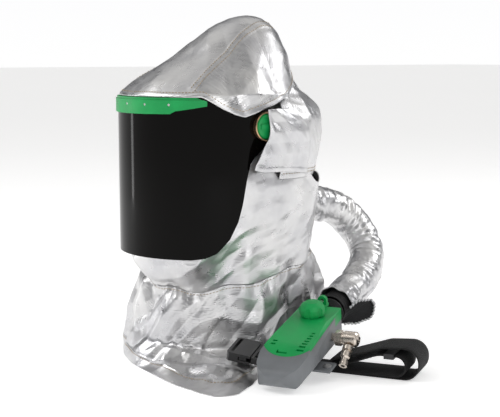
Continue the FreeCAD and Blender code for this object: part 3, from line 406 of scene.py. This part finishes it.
COVER = np.array([(300, -48, 115, 111), (338, -50, 112, 110), (352, -41, 101, 102), (370, -26, 85, 86),
                  (386, -13, 73, 70), (400, -7, 61, 58), (412, -1, 50, 47), (424, 4, 37, 33),
                  (431, 8, 24, 20), (434, 10, 12, 10), (435, 10, 2, 2)], float)
COVER_EDGE = np.array([(-170, 334.7), (-117, 334.7), (-108, 328.5), (-96, 320.5), (-82, 314), (-71, 311),
                       (-58, 315), (-44, 319.5), (-25, 325), (0, 334), (30, 349), (48, 361),
                       (80, 368)], float)


def cover_point(turn, z):
    centre = smooth_through(z, COVER[:, 0], COVER[:, 1])
    half_x = np.interp(z, COVER[:, 0], COVER[:, 2])
    half_y = np.interp(z, COVER[:, 0], COVER[:, 3])
    return np.stack([half_x * np.sin(turn), centre - half_y * np.cos(turn), z], -1)


def build_crown_cover():
    around, rise = 300, 110
    turn = np.linspace(0, TAU, around, endpoint=False)
    low = np.full(around, 334.7)
    for _ in range(12):
        y = cover_point(turn, low)[:, 1]
        low = 0.5 * low + 0.5 * np.interp(y, COVER_EDGE[:, 0], COVER_EDGE[:, 1])
    share = np.linspace(0, 1, rise) ** 0.9
    z = low[:, None] + (435 - low[:, None]) * share[None, :]
    grid = cover_point(np.repeat(turn[:, None], rise, 1), z)
    fade = np.clip(np.minimum(share * 9, (1 - share) * 6), 0, 1)[None, :]
    relief = crumple(grid, 3, 66, 1.6, 4) + crumple(grid, 5, 30, 0.55, 4) + crumple(grid, 9, 12, 0.1, 3)
    side = np.clip((np.abs(grid[..., 0]) - 60) / 30, 0, 1)
    relief = relief * fade * (0.5 + 1.1 * side)
    seam_x = smooth_through(grid[..., 1], [-150, -128, -60, 20, 60], [84, 79, 56, 34, 26])
    from_seam = np.abs(np.abs(grid[..., 0]) - seam_x)
    top = np.clip((grid[..., 2] - 341) / 5, 0, 1)
    relief += (0.9 * np.clip(1 - from_seam / 6, 0, 1) ** 0.5 * top
               - 0.6 * np.exp(-(from_seam / 0.9) ** 2) * top)
    relief += 0.8 * np.exp(-((z - low[:, None]) / 5) ** 2)
    grid = push(grid, relief, True)
    grid[:, 0, 2] = np.maximum(grid[:, 0, 2], low)
    piece = grid_object("crown_cover_cloth", grid, True, "aluminised_fabric", None)
    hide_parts("crown_cover")
    blends = [piece]
    closed_grid = np.concatenate([grid, grid[:1]])
    u = np.arange(0, around + 1, 1.0)
    blends += stitch_rows("cover_edge_thread", closed_grid, False, u, np.full(len(u), 4.5), [(0, 0)], None)
    blends += cover_seam_threads(closed_grid)
    for part in blends:
        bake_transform(part)


def cover_seam_threads(grid):
    """Two rows of thread beside each fore-and-aft seam of the three cover panels."""
    normals = grid_normals(grid, False)
    rows = []
    for side, sign in (("left", 1), ("right", -1)):
        for row, offset in enumerate((-3.4, 3.4)):
            line, facing = [], []
            for y in np.arange(-122, 30, 2.5):
                x = sign * (float(smooth_through(y, [-150, -128, -60, 20, 60], [84, 79, 56, 34, 26])) + offset)
                score = (grid[..., 0] - x) ** 2 + (grid[..., 1] - y) ** 2
                score[:, :6] += 1e4
                i, k = np.unravel_index(np.argmin(score), score.shape)
                point = grid[i, k].copy()
                point[0], point[1] = x, y
                line.append(point)
                facing.append(normals[i, k])
            rows.append(stitches("cover_seam_%s_%d" % (side, row + 1), np.array(line), np.array(facing), None))
    return rows


# ---- hood behind the visor ----

def hood_radius(angle, z):
    """Distance from the head axis; angle 0 is straight behind, in degrees."""
    a = np.abs(angle)
    belly = smooth_through(z, [228, 245, 265, 290, 312, 322, 330, 338, 350, 372],
                           [90, 95, 99.5, 102.5, 101.5, 96, 84, 71, 62, 54])
    side = smooth_through(z, [228, 245, 265, 290, 312, 322, 330, 338, 350, 372],
                          [99, 104, 109, 112, 110, 104, 95, 86, 78, 64])
    blend = np.clip(a / 72, 0, 1) ** 1.4
    return belly + (side - belly) * blend


def build_hood_rear():
    around, rise = 200, 90
    angle = np.linspace(-96, 96, around)
    z = 231.5 + (372 - 231.5) * np.linspace(0, 1, rise)
    aa, zz = np.meshgrid(angle, z, indexing="ij")
    radius = hood_radius(aa, zz)
    grid = np.stack([radius * np.sin(np.radians(aa)), radius * np.cos(np.radians(aa)), zz], -1)
    relief = crumple(grid, 21, 56, 2.0, 5) + crumple(grid, 23, 24, 0.7, 4) + crumple(grid, 25, 10, 0.15, 3)
    hem = np.clip((zz - 231.5) / 14, 0, 1)
    relief *= 0.25 + 0.75 * hem
    relief += 0.9 * np.exp(-((zz - 240) / 2.2) ** 2)
    grid = push(grid, -relief, False)
    piece = grid_object("hood_cloth", grid[::-1], False, "aluminised_fabric", "hood")
    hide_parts("hood_rear")
    u = np.arange(2, around - 2, 1.0)
    stitch_rows("hood_hem_thread", grid[::-1], False, u, np.full(len(u), 5.0), [(0, 0), (0, 2.2)], "hood")


def build_cheek(side, sign):
    """Bowed cheek panel; its bound front edge covers the rear of the pivot knob."""
    long, rise = 70, 80
    ss, hh = np.meshgrid(np.linspace(0, 1, long), np.linspace(0, 1, rise), indexing="ij")
    low = smooth_through(ss, [0, 0.1, 0.4, 0.8, 1], [247, 244.5, 243, 240, 237.5])
    z = low + (320 - low) * hh
    front_y = smooth_through(z, [243, 248, 262, 275, 284, 320], [-57.5, -57.5, -52.5, -47, -42, -42])
    rear_y = smooth_through(z, [237, 262, 285, 303, 315, 320], [33, 31, 28, 20, 4, -6])
    y = front_y + (rear_y - front_y) * ss
    front_x = smooth_through(z, [243, 262, 290, 320], [112, 116.5, 120.3, 119.5])
    rear_angle = np.degrees(np.arctan2(1.0, 0.27 + 0 * z))
    rear_x = np.sqrt(np.maximum(hood_radius(rear_angle, np.minimum(z, 316)) ** 2 - rear_y**2, 0)) + 1.6
    x = front_x + (rear_x - front_x) * ss**1.15 + 2.4 * np.sin(math.pi * ss) * (1 - 0.4 * hh)
    grid = np.stack([sign * x, y, z], -1)
    relief = crumple(grid * [sign, 1, 1], 31, 46, 1.5, 5) + crumple(grid, 33, 20, 0.35, 4)
    rim = np.minimum(np.minimum(ss * 12, hh * 10), 1)
    relief = relief * rim + 0.9 * np.exp(-(ss / 0.035) ** 2) + 0.7 * np.exp(-((hh - 0.09) / 0.02) ** 2)
    grid = push(grid, -sign * relief, False)
    ordered = grid if sign < 0 else grid[::-1]
    piece = grid_object("cheek_cloth_" + side, ordered, False, "aluminised_fabric", "hood", 1.4)
    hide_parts("cheek_panel_" + side)
    u = np.arange(1, long - 1, 1.0)
    stitch_rows("cheek_hem_thread_" + side, ordered, False, u, np.full(len(u), 4.0),
                [(0, 0), (0, 3.2)], "hood")
    v = np.arange(2, rise - 2, 1.0)
    edge = long - 4.0 if sign > 0 else 3.0
    stitch_rows("cheek_edge_thread_" + side, ordered, False, np.full(len(v), edge), v, [(0, 0)], "hood")


# ---- neck shroud and cape ----

def seam_ring(turn):
    """Gathered seam between the shroud and the cape; turn is from +X towards +Y."""
    front = np.clip(0.5 + 0.5 * np.cos(turn - math.radians(-62)), 0, 1) ** 1.6
    z = 130 - 34 * front + 2.5 * np.sin(turn * 9)
    return np.stack([90 * np.cos(turn), -15 + 113 * np.sin(turn), z], -1)


HEM = [(-152, -76), (-112, -112), (-64, -143), (-10, -162), (60, -168), (130, -166), (176, -150),
       (178, -120), (146, -78), (116, -34), (88, 8), (76, 56), (54, 110), (12, 132), (-54, 126),
       (-104, 90), (-138, 40), (-156, -22)]


def hem_ring(turn):
    """Hem of the cape on the ground, by direction from the point (0, -15)."""
    x, y = np.array(HEM, float).T
    angle, reach = np.arctan2(y + 15, x), np.hypot(x, y + 15)
    order = np.argsort(angle)
    angle, reach = angle[order], reach[order]
    angle = np.concatenate([angle[-3:] - TAU, angle, angle[:3] + TAU])
    reach = np.concatenate([reach[-3:], reach, reach[:3]])
    radius = smooth_through(np.arctan2(np.sin(turn), np.cos(turn)), angle, reach)
    return np.stack([radius * np.cos(turn), -15 + radius * np.sin(turn), np.zeros_like(turn)], -1)


def shroud_top(turn):
    """Upper edge of the shroud: under the rear hem, along the visor's side, under the chin."""
    degrees = np.degrees(np.arctan2(np.sin(turn), np.cos(turn)))
    from_side = np.where(degrees > 90, 180 - degrees, np.where(degrees < -90, -180 - degrees, degrees))
    z = smooth_through(from_side, [-90, -64, -54, -45, -36, -26, -10, 20, 34, 90],
                       [157, 157, 160, 184, 222, 258, 262, 262, 236, 234])
    half_x = smooth_through(from_side, [-90, -54, -36, -20, 20, 90], [95, 97, 98.6, 99.4, 98, 92])
    front_y = smooth_through(from_side, [-90, -64, -54, -45, -36, -26, -10, 20, 34, 90],
                             [-136, -130, -119, -100, -76, -52, -22, 24, 44, 87])
    x = half_x * np.cos(np.radians(from_side)) ** 0.22 * np.sign(np.cos(turn))
    return np.stack([x, front_y, z], -1)


def build_shroud():
    around, rise = 360, 110
    turn = np.linspace(0, TAU, around, endpoint=False)
    low, top = seam_ring(turn), shroud_top(turn)
    share = np.linspace(0, 1, rise)[None, :, None]
    s = share[..., 0]
    grid = low[:, None] * (1 - share) + top[:, None] * share
    front = np.clip(-np.sin(turn), 0, 1) ** 0.8
    out = np.stack([np.cos(turn), np.sin(turn), 0 * turn], -1)[:, None]
    bulge = 9 * np.sin(math.pi * s) * (front * (1 - front * 0.3))[:, None]
    folds = 3.0 * np.sin(turn * 11 + 1.3 * np.sin(turn * 3))[:, None] * (1 - s) ** 1.5
    grid = grid + out * (bulge + folds)[..., None]
    relief = crumple(grid, 41, 62, 3.4, 4) + crumple(grid, 43, 34, 0.9, 4) + crumple(grid, 45, 14, 0.1, 3)
    ends = np.clip(np.minimum(s * 10 + 0.15, (1 - s) * 9), 0, 1)
    grid = push(grid, relief * ends, True)
    hold_behind_lens(grid)
    piece = grid_object("neck_shroud_cloth", grid, True, "aluminised_fabric", "hood")
    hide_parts("neck_shroud")


def hold_behind_lens(grid):
    """Keep cloth inside the lens's plan where the lens passes over it."""
    x, y, z = grid[..., 0], grid[..., 1], grid[..., 2]
    limit = 101.2
    ahead = np.minimum(y + 60, 0)
    reach = np.hypot(x, ahead)
    over = (reach > limit) & (z > 134) & (y < -30)
    scale = np.where(over, limit / np.maximum(reach, 1), 1)
    grid[..., 0] = x * scale
    grid[..., 1] = np.where(over, np.where(y < -60, -60 + ahead * scale, y), y)


LAP_LEVELS = [0, 0.16, 0.36, 0.62, 0.82, 1]


def build_cape():
    around, rise = 440, 130
    turn = np.linspace(0, TAU, around, endpoint=False)
    top, hem = seam_ring(turn), hem_ring(turn)
    share = np.linspace(0, 1, rise)[None, :]
    lap = (0.5 + 0.5 * np.cos(turn - math.radians(-35)))[:, None] ** 3
    shoulder = smooth_through(share, LAP_LEVELS, [0, 0.34, 0.66, 0.88, 0.96, 1])
    slope = smooth_through(share, [0, 0.2, 0.42, 0.56, 0.78, 1],
                           [0, 0.0, -0.04, -0.04, 0.5, 1])
    spread = shoulder + (slope - shoulder) * lap
    drop_shoulder = smooth_through(share, LAP_LEVELS, [0, 0.08, 0.28, 0.6, 0.82, 1])
    drop_lap = smooth_through(share, [0, 0.2, 0.42, 0.56, 0.78, 1], [0, 0.34, 0.68, 0.8, 0.9, 1])
    drop = drop_shoulder + (drop_lap - drop_shoulder) * lap
    grid = np.empty((around, rise, 3))
    for axis in (0, 1):
        grid[..., axis] = top[:, None, axis] + (hem - top)[:, None, axis] * spread
    grid[..., 2] = top[:, None, 2] * (1 - drop)
    gathers = 1.7 * np.sin(turn * 26 + 2 * np.sin(turn * 5))[:, None] * np.exp(-share / 0.16)
    relief = crumple(grid, 51, 76, 5.4, 4) + crumple(grid, 53, 38, 1.5, 4) + crumple(grid, 55, 15, 0.15, 3)
    hem_band = np.clip((1 - share) / 0.2, 0, 1)
    ends = np.clip(share * 9 + 0.2, 0, 1) * (0.12 + 0.88 * hem_band)
    relief = relief * ends + gathers + 0.8 * np.exp(-((share - 0.84) / 0.008) ** 2)
    grid = push(grid, -relief, True)
    grid[..., 2] = np.maximum(grid[..., 2], 0.2 + 0.6 * (1 - share))
    grid[:, -1, 2] = 0.0
    keep_clear_of_unit(grid)
    keep_clear_of_buckle(grid)
    piece = grid_object("shoulder_cape_cloth", grid[::-1], True, "aluminised_fabric", "hood")
    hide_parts("shoulder_cape")
    ring = np.concatenate([grid, grid[:1]])[::-1]
    u = np.arange(0, around, 1.0)
    stitch_rows("cape_hem_thread", ring, False, u, np.full(len(u), rise * 0.84 + 2), [(0, 0)], "hood")
    stitch_rows("cape_seam_thread", ring, False, u, np.full(len(u), 3.0), [(0, 0)], "hood")


def keep_clear_of_buckle(grid):
    """Press the cape down under the buckle and its strap."""
    heading = math.radians(37)
    x, y = grid[..., 0] - 129, grid[..., 1] + 71
    along = x * math.cos(heading) + y * math.sin(heading)
    across = -x * math.sin(heading) + y * math.cos(heading)
    outside = np.maximum(np.maximum(-31 - along, along - 50), np.abs(across) - 27)
    ceiling = 20.5 - 0.14 * along + 0.12 * across
    ceiling = ceiling + outside.clip(0) * 7
    rows = np.arange(grid.shape[1])[None, :] / grid.shape[1]
    low = np.minimum(grid[..., 2], np.maximum(ceiling, 110 - 230 * rows))
    grid[..., 2] = np.maximum(low, np.minimum(grid[..., 2], 0.2))


def keep_clear_of_unit(grid):
    """Hold the cape to its own side of the belt unit's flank."""
    to_unit = UNIT.inverted()
    flat = head(grid.reshape(-1, 3))
    local = flat @ np.array(to_unit.to_3x3()).T + np.array(to_unit.translation)
    along, across, up = local.T / MM
    near = (along > -12) & (along < 212) & (up > -30) & (up < 60) & (across < 37) & (across > -60)
    shift = np.where(near, 37 - across, 0) * MM
    side = np.array(UNIT.to_3x3().col[1])
    moved = flat + shift[:, None] * side
    grid[...] = ((moved - np.array(HEAD)) / MM).reshape(grid.shape)


# ---- inner collar and sweatband ----

def build_inner_collar():
    around, rise = 240, 26
    turn = np.linspace(0, TAU, around, endpoint=False)
    rows = smooth_through(np.linspace(0, 1, rise), [0, 0.4, 1], [140, 152, 176])
    half_x = np.interp(rows, [140, 152, 176], [83, 66, 61.5])
    half_y = np.interp(rows, [140, 152, 176], [103, 74, 65.5])
    centre = np.interp(rows, [140, 152, 176], [-20, -24, -26])
    ribs = 1 + 0.008 * np.sin(turn * 90)
    grid = np.stack([np.outer(np.cos(turn) * ribs, half_x), centre + np.outer(np.sin(turn) * ribs, half_y),
                     np.repeat(rows[None], around, 0)], -1)
    piece = grid_object("neck_seal_knit", grid[::-1], True, "knit", "hood", 1.6)
    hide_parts("inner_collar")


# ---- hose ----

HOSE_ROUTE = [(0, 97.2, 185), (2, 125, 182), (1, 155, 175), (5, 181, 158), (17, 196, 134),
              (36, 194, 109), (54, 172, 90), (70, 143, 77), (88, 107, 67.5), (106.4, 69.6, 58.6)]


def route_line():
    """Points along the hose's own smooth curve, in metres."""
    curve = bpy.data.curves.new("hose_route", "CURVE")
    curve.dimensions = "3D"
    spline = curve.splines.new("NURBS")
    spline.points.add(len(HOSE_ROUTE) - 1)
    for point, place in zip(spline.points, head(HOSE_ROUTE)):
        point.co = (*place, 1)
    spline.order_u = 3
    spline.use_endpoint_u = True
    spline.resolution_u = 24
    route = bpy.data.objects.new("hose_route", curve)
    bpy.context.scene.collection.objects.link(route)
    bpy.context.view_layer.update()
    mesh = bpy.data.meshes.new_from_object(route)
    line = np.array([tuple(v.co) for v in mesh.vertices])
    bpy.data.objects.remove(route)
    return line


def tube_frames(line, count):
    """Evenly spaced centres with directions and a steady sideways and upward pair."""
    steps = np.linalg.norm(np.diff(line, axis=0), axis=1)
    run = np.concatenate([[0], np.cumsum(steps)])
    places = np.linspace(0, run[-1], count)
    centre = np.stack([np.interp(places, run, line[:, c]) for c in range(3)], -1)
    along = np.gradient(centre, axis=0)
    along /= np.linalg.norm(along, axis=1, keepdims=True)
    side = np.zeros_like(along)
    reference = np.cross(along[0], (0, 0, 1))
    for k, direction in enumerate(along):
        reference = reference - direction * (reference @ direction)
        reference /= np.linalg.norm(reference)
        side[k] = reference
    return places, centre, side, np.cross(side, along)


def tube_grid(line, count, around, radius):
    """radius is a function of (place, angle) grids, in metres."""
    places, centre, side, up = tube_frames(line, count)
    angle = np.linspace(0, TAU, around, endpoint=False)
    aa, pp = np.meshgrid(angle, places, indexing="ij")
    rr = radius(pp, aa)
    ring = np.cos(aa)[..., None] * side[None] + np.sin(aa)[..., None] * up[None]
    return (centre[None] + ring * rr[..., None] - np.array(HEAD)) / MM


def build_hose():
    line = route_line()
    length = float(np.linalg.norm(np.diff(line, axis=0), axis=1).sum())
    hose_r = 19 * MM
    hose = tube_grid(line, 420, 40, lambda p, a: hose_r - 1.1 * MM + 1.1 * MM * np.sin(p / (6 * MM) * TAU))
    hose_piece = grid_object("breathing_hose_corrugated", hose[::-1], True, "rubber", "hood", 1.4)
    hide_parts("breathing_hose")
    share = 0.985
    cut = line[: int(len(line) * share)]

    def sleeve_radius(p, a):
        wrinkle = np.sin(p / (15 * MM) * TAU + 1.2 * np.sin(a * 2 + p * 60)) * (0.6 + 0.4 * np.sin(p * 95 + a))
        flare = np.clip((p - length * share * 0.9) / (length * share * 0.1), 0, 1)
        return (23.6 + 1.1 * wrinkle * (0.55 + 0.45 * np.cos(a - 0.4)) + 2.0 * flare) * MM

    sleeve = tube_grid(cut, 360, 120, sleeve_radius)
    relief = crumple(sleeve, 61, 40, 1.3, 5) + crumple(sleeve, 63, 18, 0.7, 5) + crumple(sleeve, 65, 8, 0.12, 3)
    places = np.linspace(0, 1, 360)[None, :]
    angle = np.linspace(0, TAU, 120, endpoint=False)[:, None]
    flap_line = 1.75 + 0.5 * np.sin(places * 5)
    overlap = np.clip(1 - ((angle - flap_line) % TAU) / 0.75, 0, 1) ** 0.4 * (((angle - flap_line) % TAU) < 0.75)
    relief = relief + 1.3 * overlap
    sleeve = push(sleeve, -relief, True)
    sleeve_piece = grid_object("hose_sleeve_cloth", sleeve[::-1], True, "aluminised_fabric", "hood", 1.1)
    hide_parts("hose_sleeve")
    build_flap()


FLAP_SPINE = [(131, 46), (141, 52), (152, 58), (163, 65), (170, 72)]
FLAP_HALF = [3.5, 9.5, 13.0, 11.5, 3.0]


def build_flap():
    """Leaf-shaped open end of the sleeve, lined in black, with a crinkled silver hem."""
    across, toward = np.array([0.5736, 0.8192, 0]), np.array([0.8192, -0.5736, 0])
    rows, cols = 60, 24
    s = np.linspace(0, 1, rows)[:, None]
    c = np.linspace(-1, 1, cols)[None, :]
    places = np.linspace(0, 1, 5)
    mid_r = smooth_through(s, places, [p[0] for p in FLAP_SPINE])
    mid_z = smooth_through(s, places, [p[1] for p in FLAP_SPINE])
    half = smooth_through(s, places, FLAP_HALF)
    r = mid_r + half * c * 0.62
    z = mid_z - half * c * 0.78 + 0.7 * np.sin(s * 17) * c
    t = 62 + 3.0 * c**2 - 2.5 * s
    grid = r[..., None] * across + t[..., None] * toward
    grid[..., 2] += z
    grid = push(grid, crumple(grid, 71, 18, 0.5), False)
    piece = grid_object("sleeve_flap_lining", grid, False, "aluminised_fabric", "hood", 1.0, LINING)
    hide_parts("sleeve_flap")
    border = np.concatenate([grid[:, -1], grid[-2::-1, 0][:36]])
    step = np.gradient(border, axis=0)
    step /= np.linalg.norm(step, axis=1, keepdims=True)
    out = np.cross(step, toward)
    angle = np.linspace(0, TAU, 12, endpoint=False)
    size = (1.5 + 0.5 * np.sin(np.arange(len(border)) * 1.3))[None, :, None]
    hem = (border[None] + size * (np.cos(angle)[:, None, None] * out[None]
                                  + np.sin(angle)[:, None, None] * toward[None, None]))
    grid_object("sleeve_flap_hem", hem, True, "aluminised_fabric", "hood", 0)


# ---- belt ----

BELT_ROUTE = [(-10, 0.9), (136, 0.9), (136, 40), (90, 36.6), (40, 19), (26, 16.5), (26, 11), (44, 11.5),
              (86, 28), (120, 28), (120, 3.6), (40, 2.75)]
BELT_RADII = [18, 18, 30, 20, 2.6, 2.6, 30, 30, 11.5, 11.5]
STRAP_ROUTE = [(9.1, 29.5), (9.1, 17.8), (17, 17.2), (31, 5.0), (54, 4.0)]
STRAP_RADII = [2.4, 8, 12]


def rounded(route, radii, step=1.2):
    """Points of a polyline whose inner corners are rounded."""
    route = np.array(route, float)
    made = [route[0]]
    for k, radius in enumerate(radii, 1):
        back = route[k - 1] - route[k]
        ahead = route[k + 1] - route[k]
        back /= np.linalg.norm(back)
        ahead /= np.linalg.norm(ahead)
        half = math.acos(np.clip(back @ ahead, -1, 1)) / 2
        bisector = (back + ahead) / np.linalg.norm(back + ahead)
        centre = route[k] + bisector * radius / math.sin(half)
        first = route[k] + back * radius / math.tan(half) - centre
        last = route[k] + ahead * radius / math.tan(half) - centre
        sweep = math.pi - 2 * half
        count = max(3, int(radius * sweep / step))
        for share in np.linspace(0, 1, count):
            arm = (math.sin((1 - share) * sweep) * first + math.sin(share * sweep) * last) / math.sin(sweep)
            made.append(centre + arm)
    made.append(route[-1])
    return np.array(made)


def webbing(name, node, route, radii, origin, heading, width, waver):
    """Woven strap with rounded selvedges along a route in an upright plane."""
    line = rounded(route, radii)
    steps = np.linalg.norm(np.diff(line, axis=0), axis=1)
    run = np.concatenate([[0], np.cumsum(steps)])
    places = np.arange(0, run[-1], 1.5)
    x, z = np.interp(places, run, line[:, 0]), np.interp(places, run, line[:, 1])
    slope = np.stack([np.gradient(x), np.gradient(z)], -1)
    slope /= np.linalg.norm(slope, axis=1, keepdims=True)
    profile = [(-width / 2, 0), (-width / 2 + 0.8, 0.85), (-width / 4, 0.9), (0, 0.9), (width / 4, 0.9),
               (width / 2 - 0.8, 0.85), (width / 2, 0), (width / 2 - 0.8, -0.85), (width / 4, -0.9), (0, -0.9),
               (-width / 4, -0.9), (-width / 2 + 0.8, -0.85)]
    ways = (np.array([math.cos(heading), math.sin(heading), 0]),
            np.array([-math.sin(heading), math.cos(heading), 0]))
    shift = waver * np.sin(places / run[-1] * 5.0)
    grid = np.empty((len(profile), len(places), 3))
    for k, (across, lift) in enumerate(profile):
        px = x - slope[:, 1] * lift
        pz = z + slope[:, 0] * lift
        grid[k] = px[:, None] * ways[0] + (across + shift)[:, None] * ways[1]
        grid[k, :, 2] = np.maximum(pz, 0.02)
    grid[..., :2] += np.array(origin)
    piece = grid_object(name, grid, True, "webbing", "hood", 0)
    close_ends(piece, len(profile), len(places))
    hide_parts(node)
    return piece


def close_ends(piece, around, count):
    mesh = piece.data
    verts = [tuple(v.co) for v in mesh.vertices]
    faces = [tuple(p.vertices) for p in mesh.polygons]
    faces.append(tuple(k * count for k in range(around)))
    faces.append(tuple(k * count + count - 1 for k in range(around - 1, -1, -1)))
    mesh.clear_geometry()
    mesh.from_pydata(verts, [], faces)
    mesh.polygons.foreach_set("use_smooth", [True] * len(mesh.polygons))


def build_belt():
    heading = math.radians(32)
    webbing("belt_webbing_strap", "belt_webbing", BELT_ROUTE, BELT_RADII, (137.4, 20.3), heading, 50, 0.6)
    webbing("buckle_strap_webbing", "buckle_strap", STRAP_ROUTE, STRAP_RADII, (129, -71),
            math.radians(37), 36, 0)


# ---- stage, light and camera ----

def build_stage():
    bpy.ops.mesh.primitive_plane_add(size=60, location=(0, 1.5, -0.0006))
    floor = bpy.context.object
    floor.name = "floor"
    material, tree, principled = new_material("pale_floor", (0.9, 0.9, 0.9), 0.7)
    grain = texture(tree, "Noise", Scale=30.0)
    tree.links.new(ramp(tree, grain.outputs["Fac"], [(0, (0.88,) * 3), (1, (0.92,) * 3)]),
                   principled.inputs["Base Color"])
    principled.inputs["Emission Color"].default_value = (1, 1, 1, 1)
    principled.inputs["Emission Strength"].default_value = 0.42
    floor.data.materials.append(material)


def area_light(name, place, aim, size, power, size_y=None):
    data = bpy.data.lights.new(name, "AREA")
    data.shape = "RECTANGLE"
    data.size = size
    data.size_y = size_y or size
    data.energy = power
    light = bpy.data.objects.new(name, data)
    light.location = place
    light.rotation_euler = (Vector(aim) - Vector(place)).to_track_quat("-Z", "Y").to_euler()
    bpy.context.scene.collection.objects.link(light)


def build_light():
    bpy.context.scene.view_settings.view_transform = "Standard"
    world = bpy.data.worlds.new("studio")
    bpy.context.scene.world = world
    world.use_nodes = True
    tree = world.node_tree
    background = tree.nodes["Background"]
    source = tree.nodes.new("ShaderNodeTexCoord")
    split = tree.nodes.new("ShaderNodeSeparateXYZ")
    tree.links.new(source.outputs["Generated"], split.inputs["Vector"])
    shade = ramp(tree, split.outputs["Z"], [(0.0, (1.0, 1.0, 1.0)), (0.06, (0.98, 0.98, 0.99)),
                                            (0.15, (0.05, 0.052, 0.06)), (0.38, (0.07, 0.072, 0.08)),
                                            (0.56, (0.5, 0.5, 0.5)), (0.8, (0.85, 0.84, 0.82)),
                                            (1.0, (0.3, 0.3, 0.3))])
    tree.links.new(shade, background.inputs["Color"])
    background.inputs["Strength"].default_value = 1.0
    aim = (0, 0, 0.2)
    area_light("key", (-0.9, -1.6, 1.9), aim, 1.3, 20)
    area_light("fill", (2.0, -0.4, 0.9), aim, 1.0, 7)
    area_light("rim", (0.6, 1.9, 1.5), aim, 1.2, 14)
    area_light("strip", (-1.3, -1.1, 0.45), aim, 0.14, 3, 1.3)


def build_camera():
    azimuth, distance, height, dip = math.radians(55), 1.45, 0.385, math.radians(7.9)
    data = bpy.data.cameras.new("camera")
    data.sensor_width = 36
    data.lens = 1110 * 36 / 500
    camera = bpy.data.objects.new("camera", data)
    right = Vector((math.cos(azimuth), math.sin(azimuth), 0))
    back = Vector((math.sin(azimuth), -math.cos(azimuth), 0))
    camera.location = Vector((HEAD.x, HEAD.y, height)) + back * distance
    look = (-back * math.cos(dip) + right * (10 / 1110) - Vector((0, 0, math.sin(dip)))).normalized()
    camera.rotation_euler = look.to_track_quat("-Z", "Y").to_euler()
    bpy.context.scene.collection.objects.link(camera)
    bpy.context.scene.camera = camera


build_camera()
build_hose()
build_crown_cover()
build_hood_rear()
build_cheek("left", 1)
build_cheek("right", -1)
build_shroud()
build_cape()
build_inner_collar()
build_belt()
build_stage()
build_light()
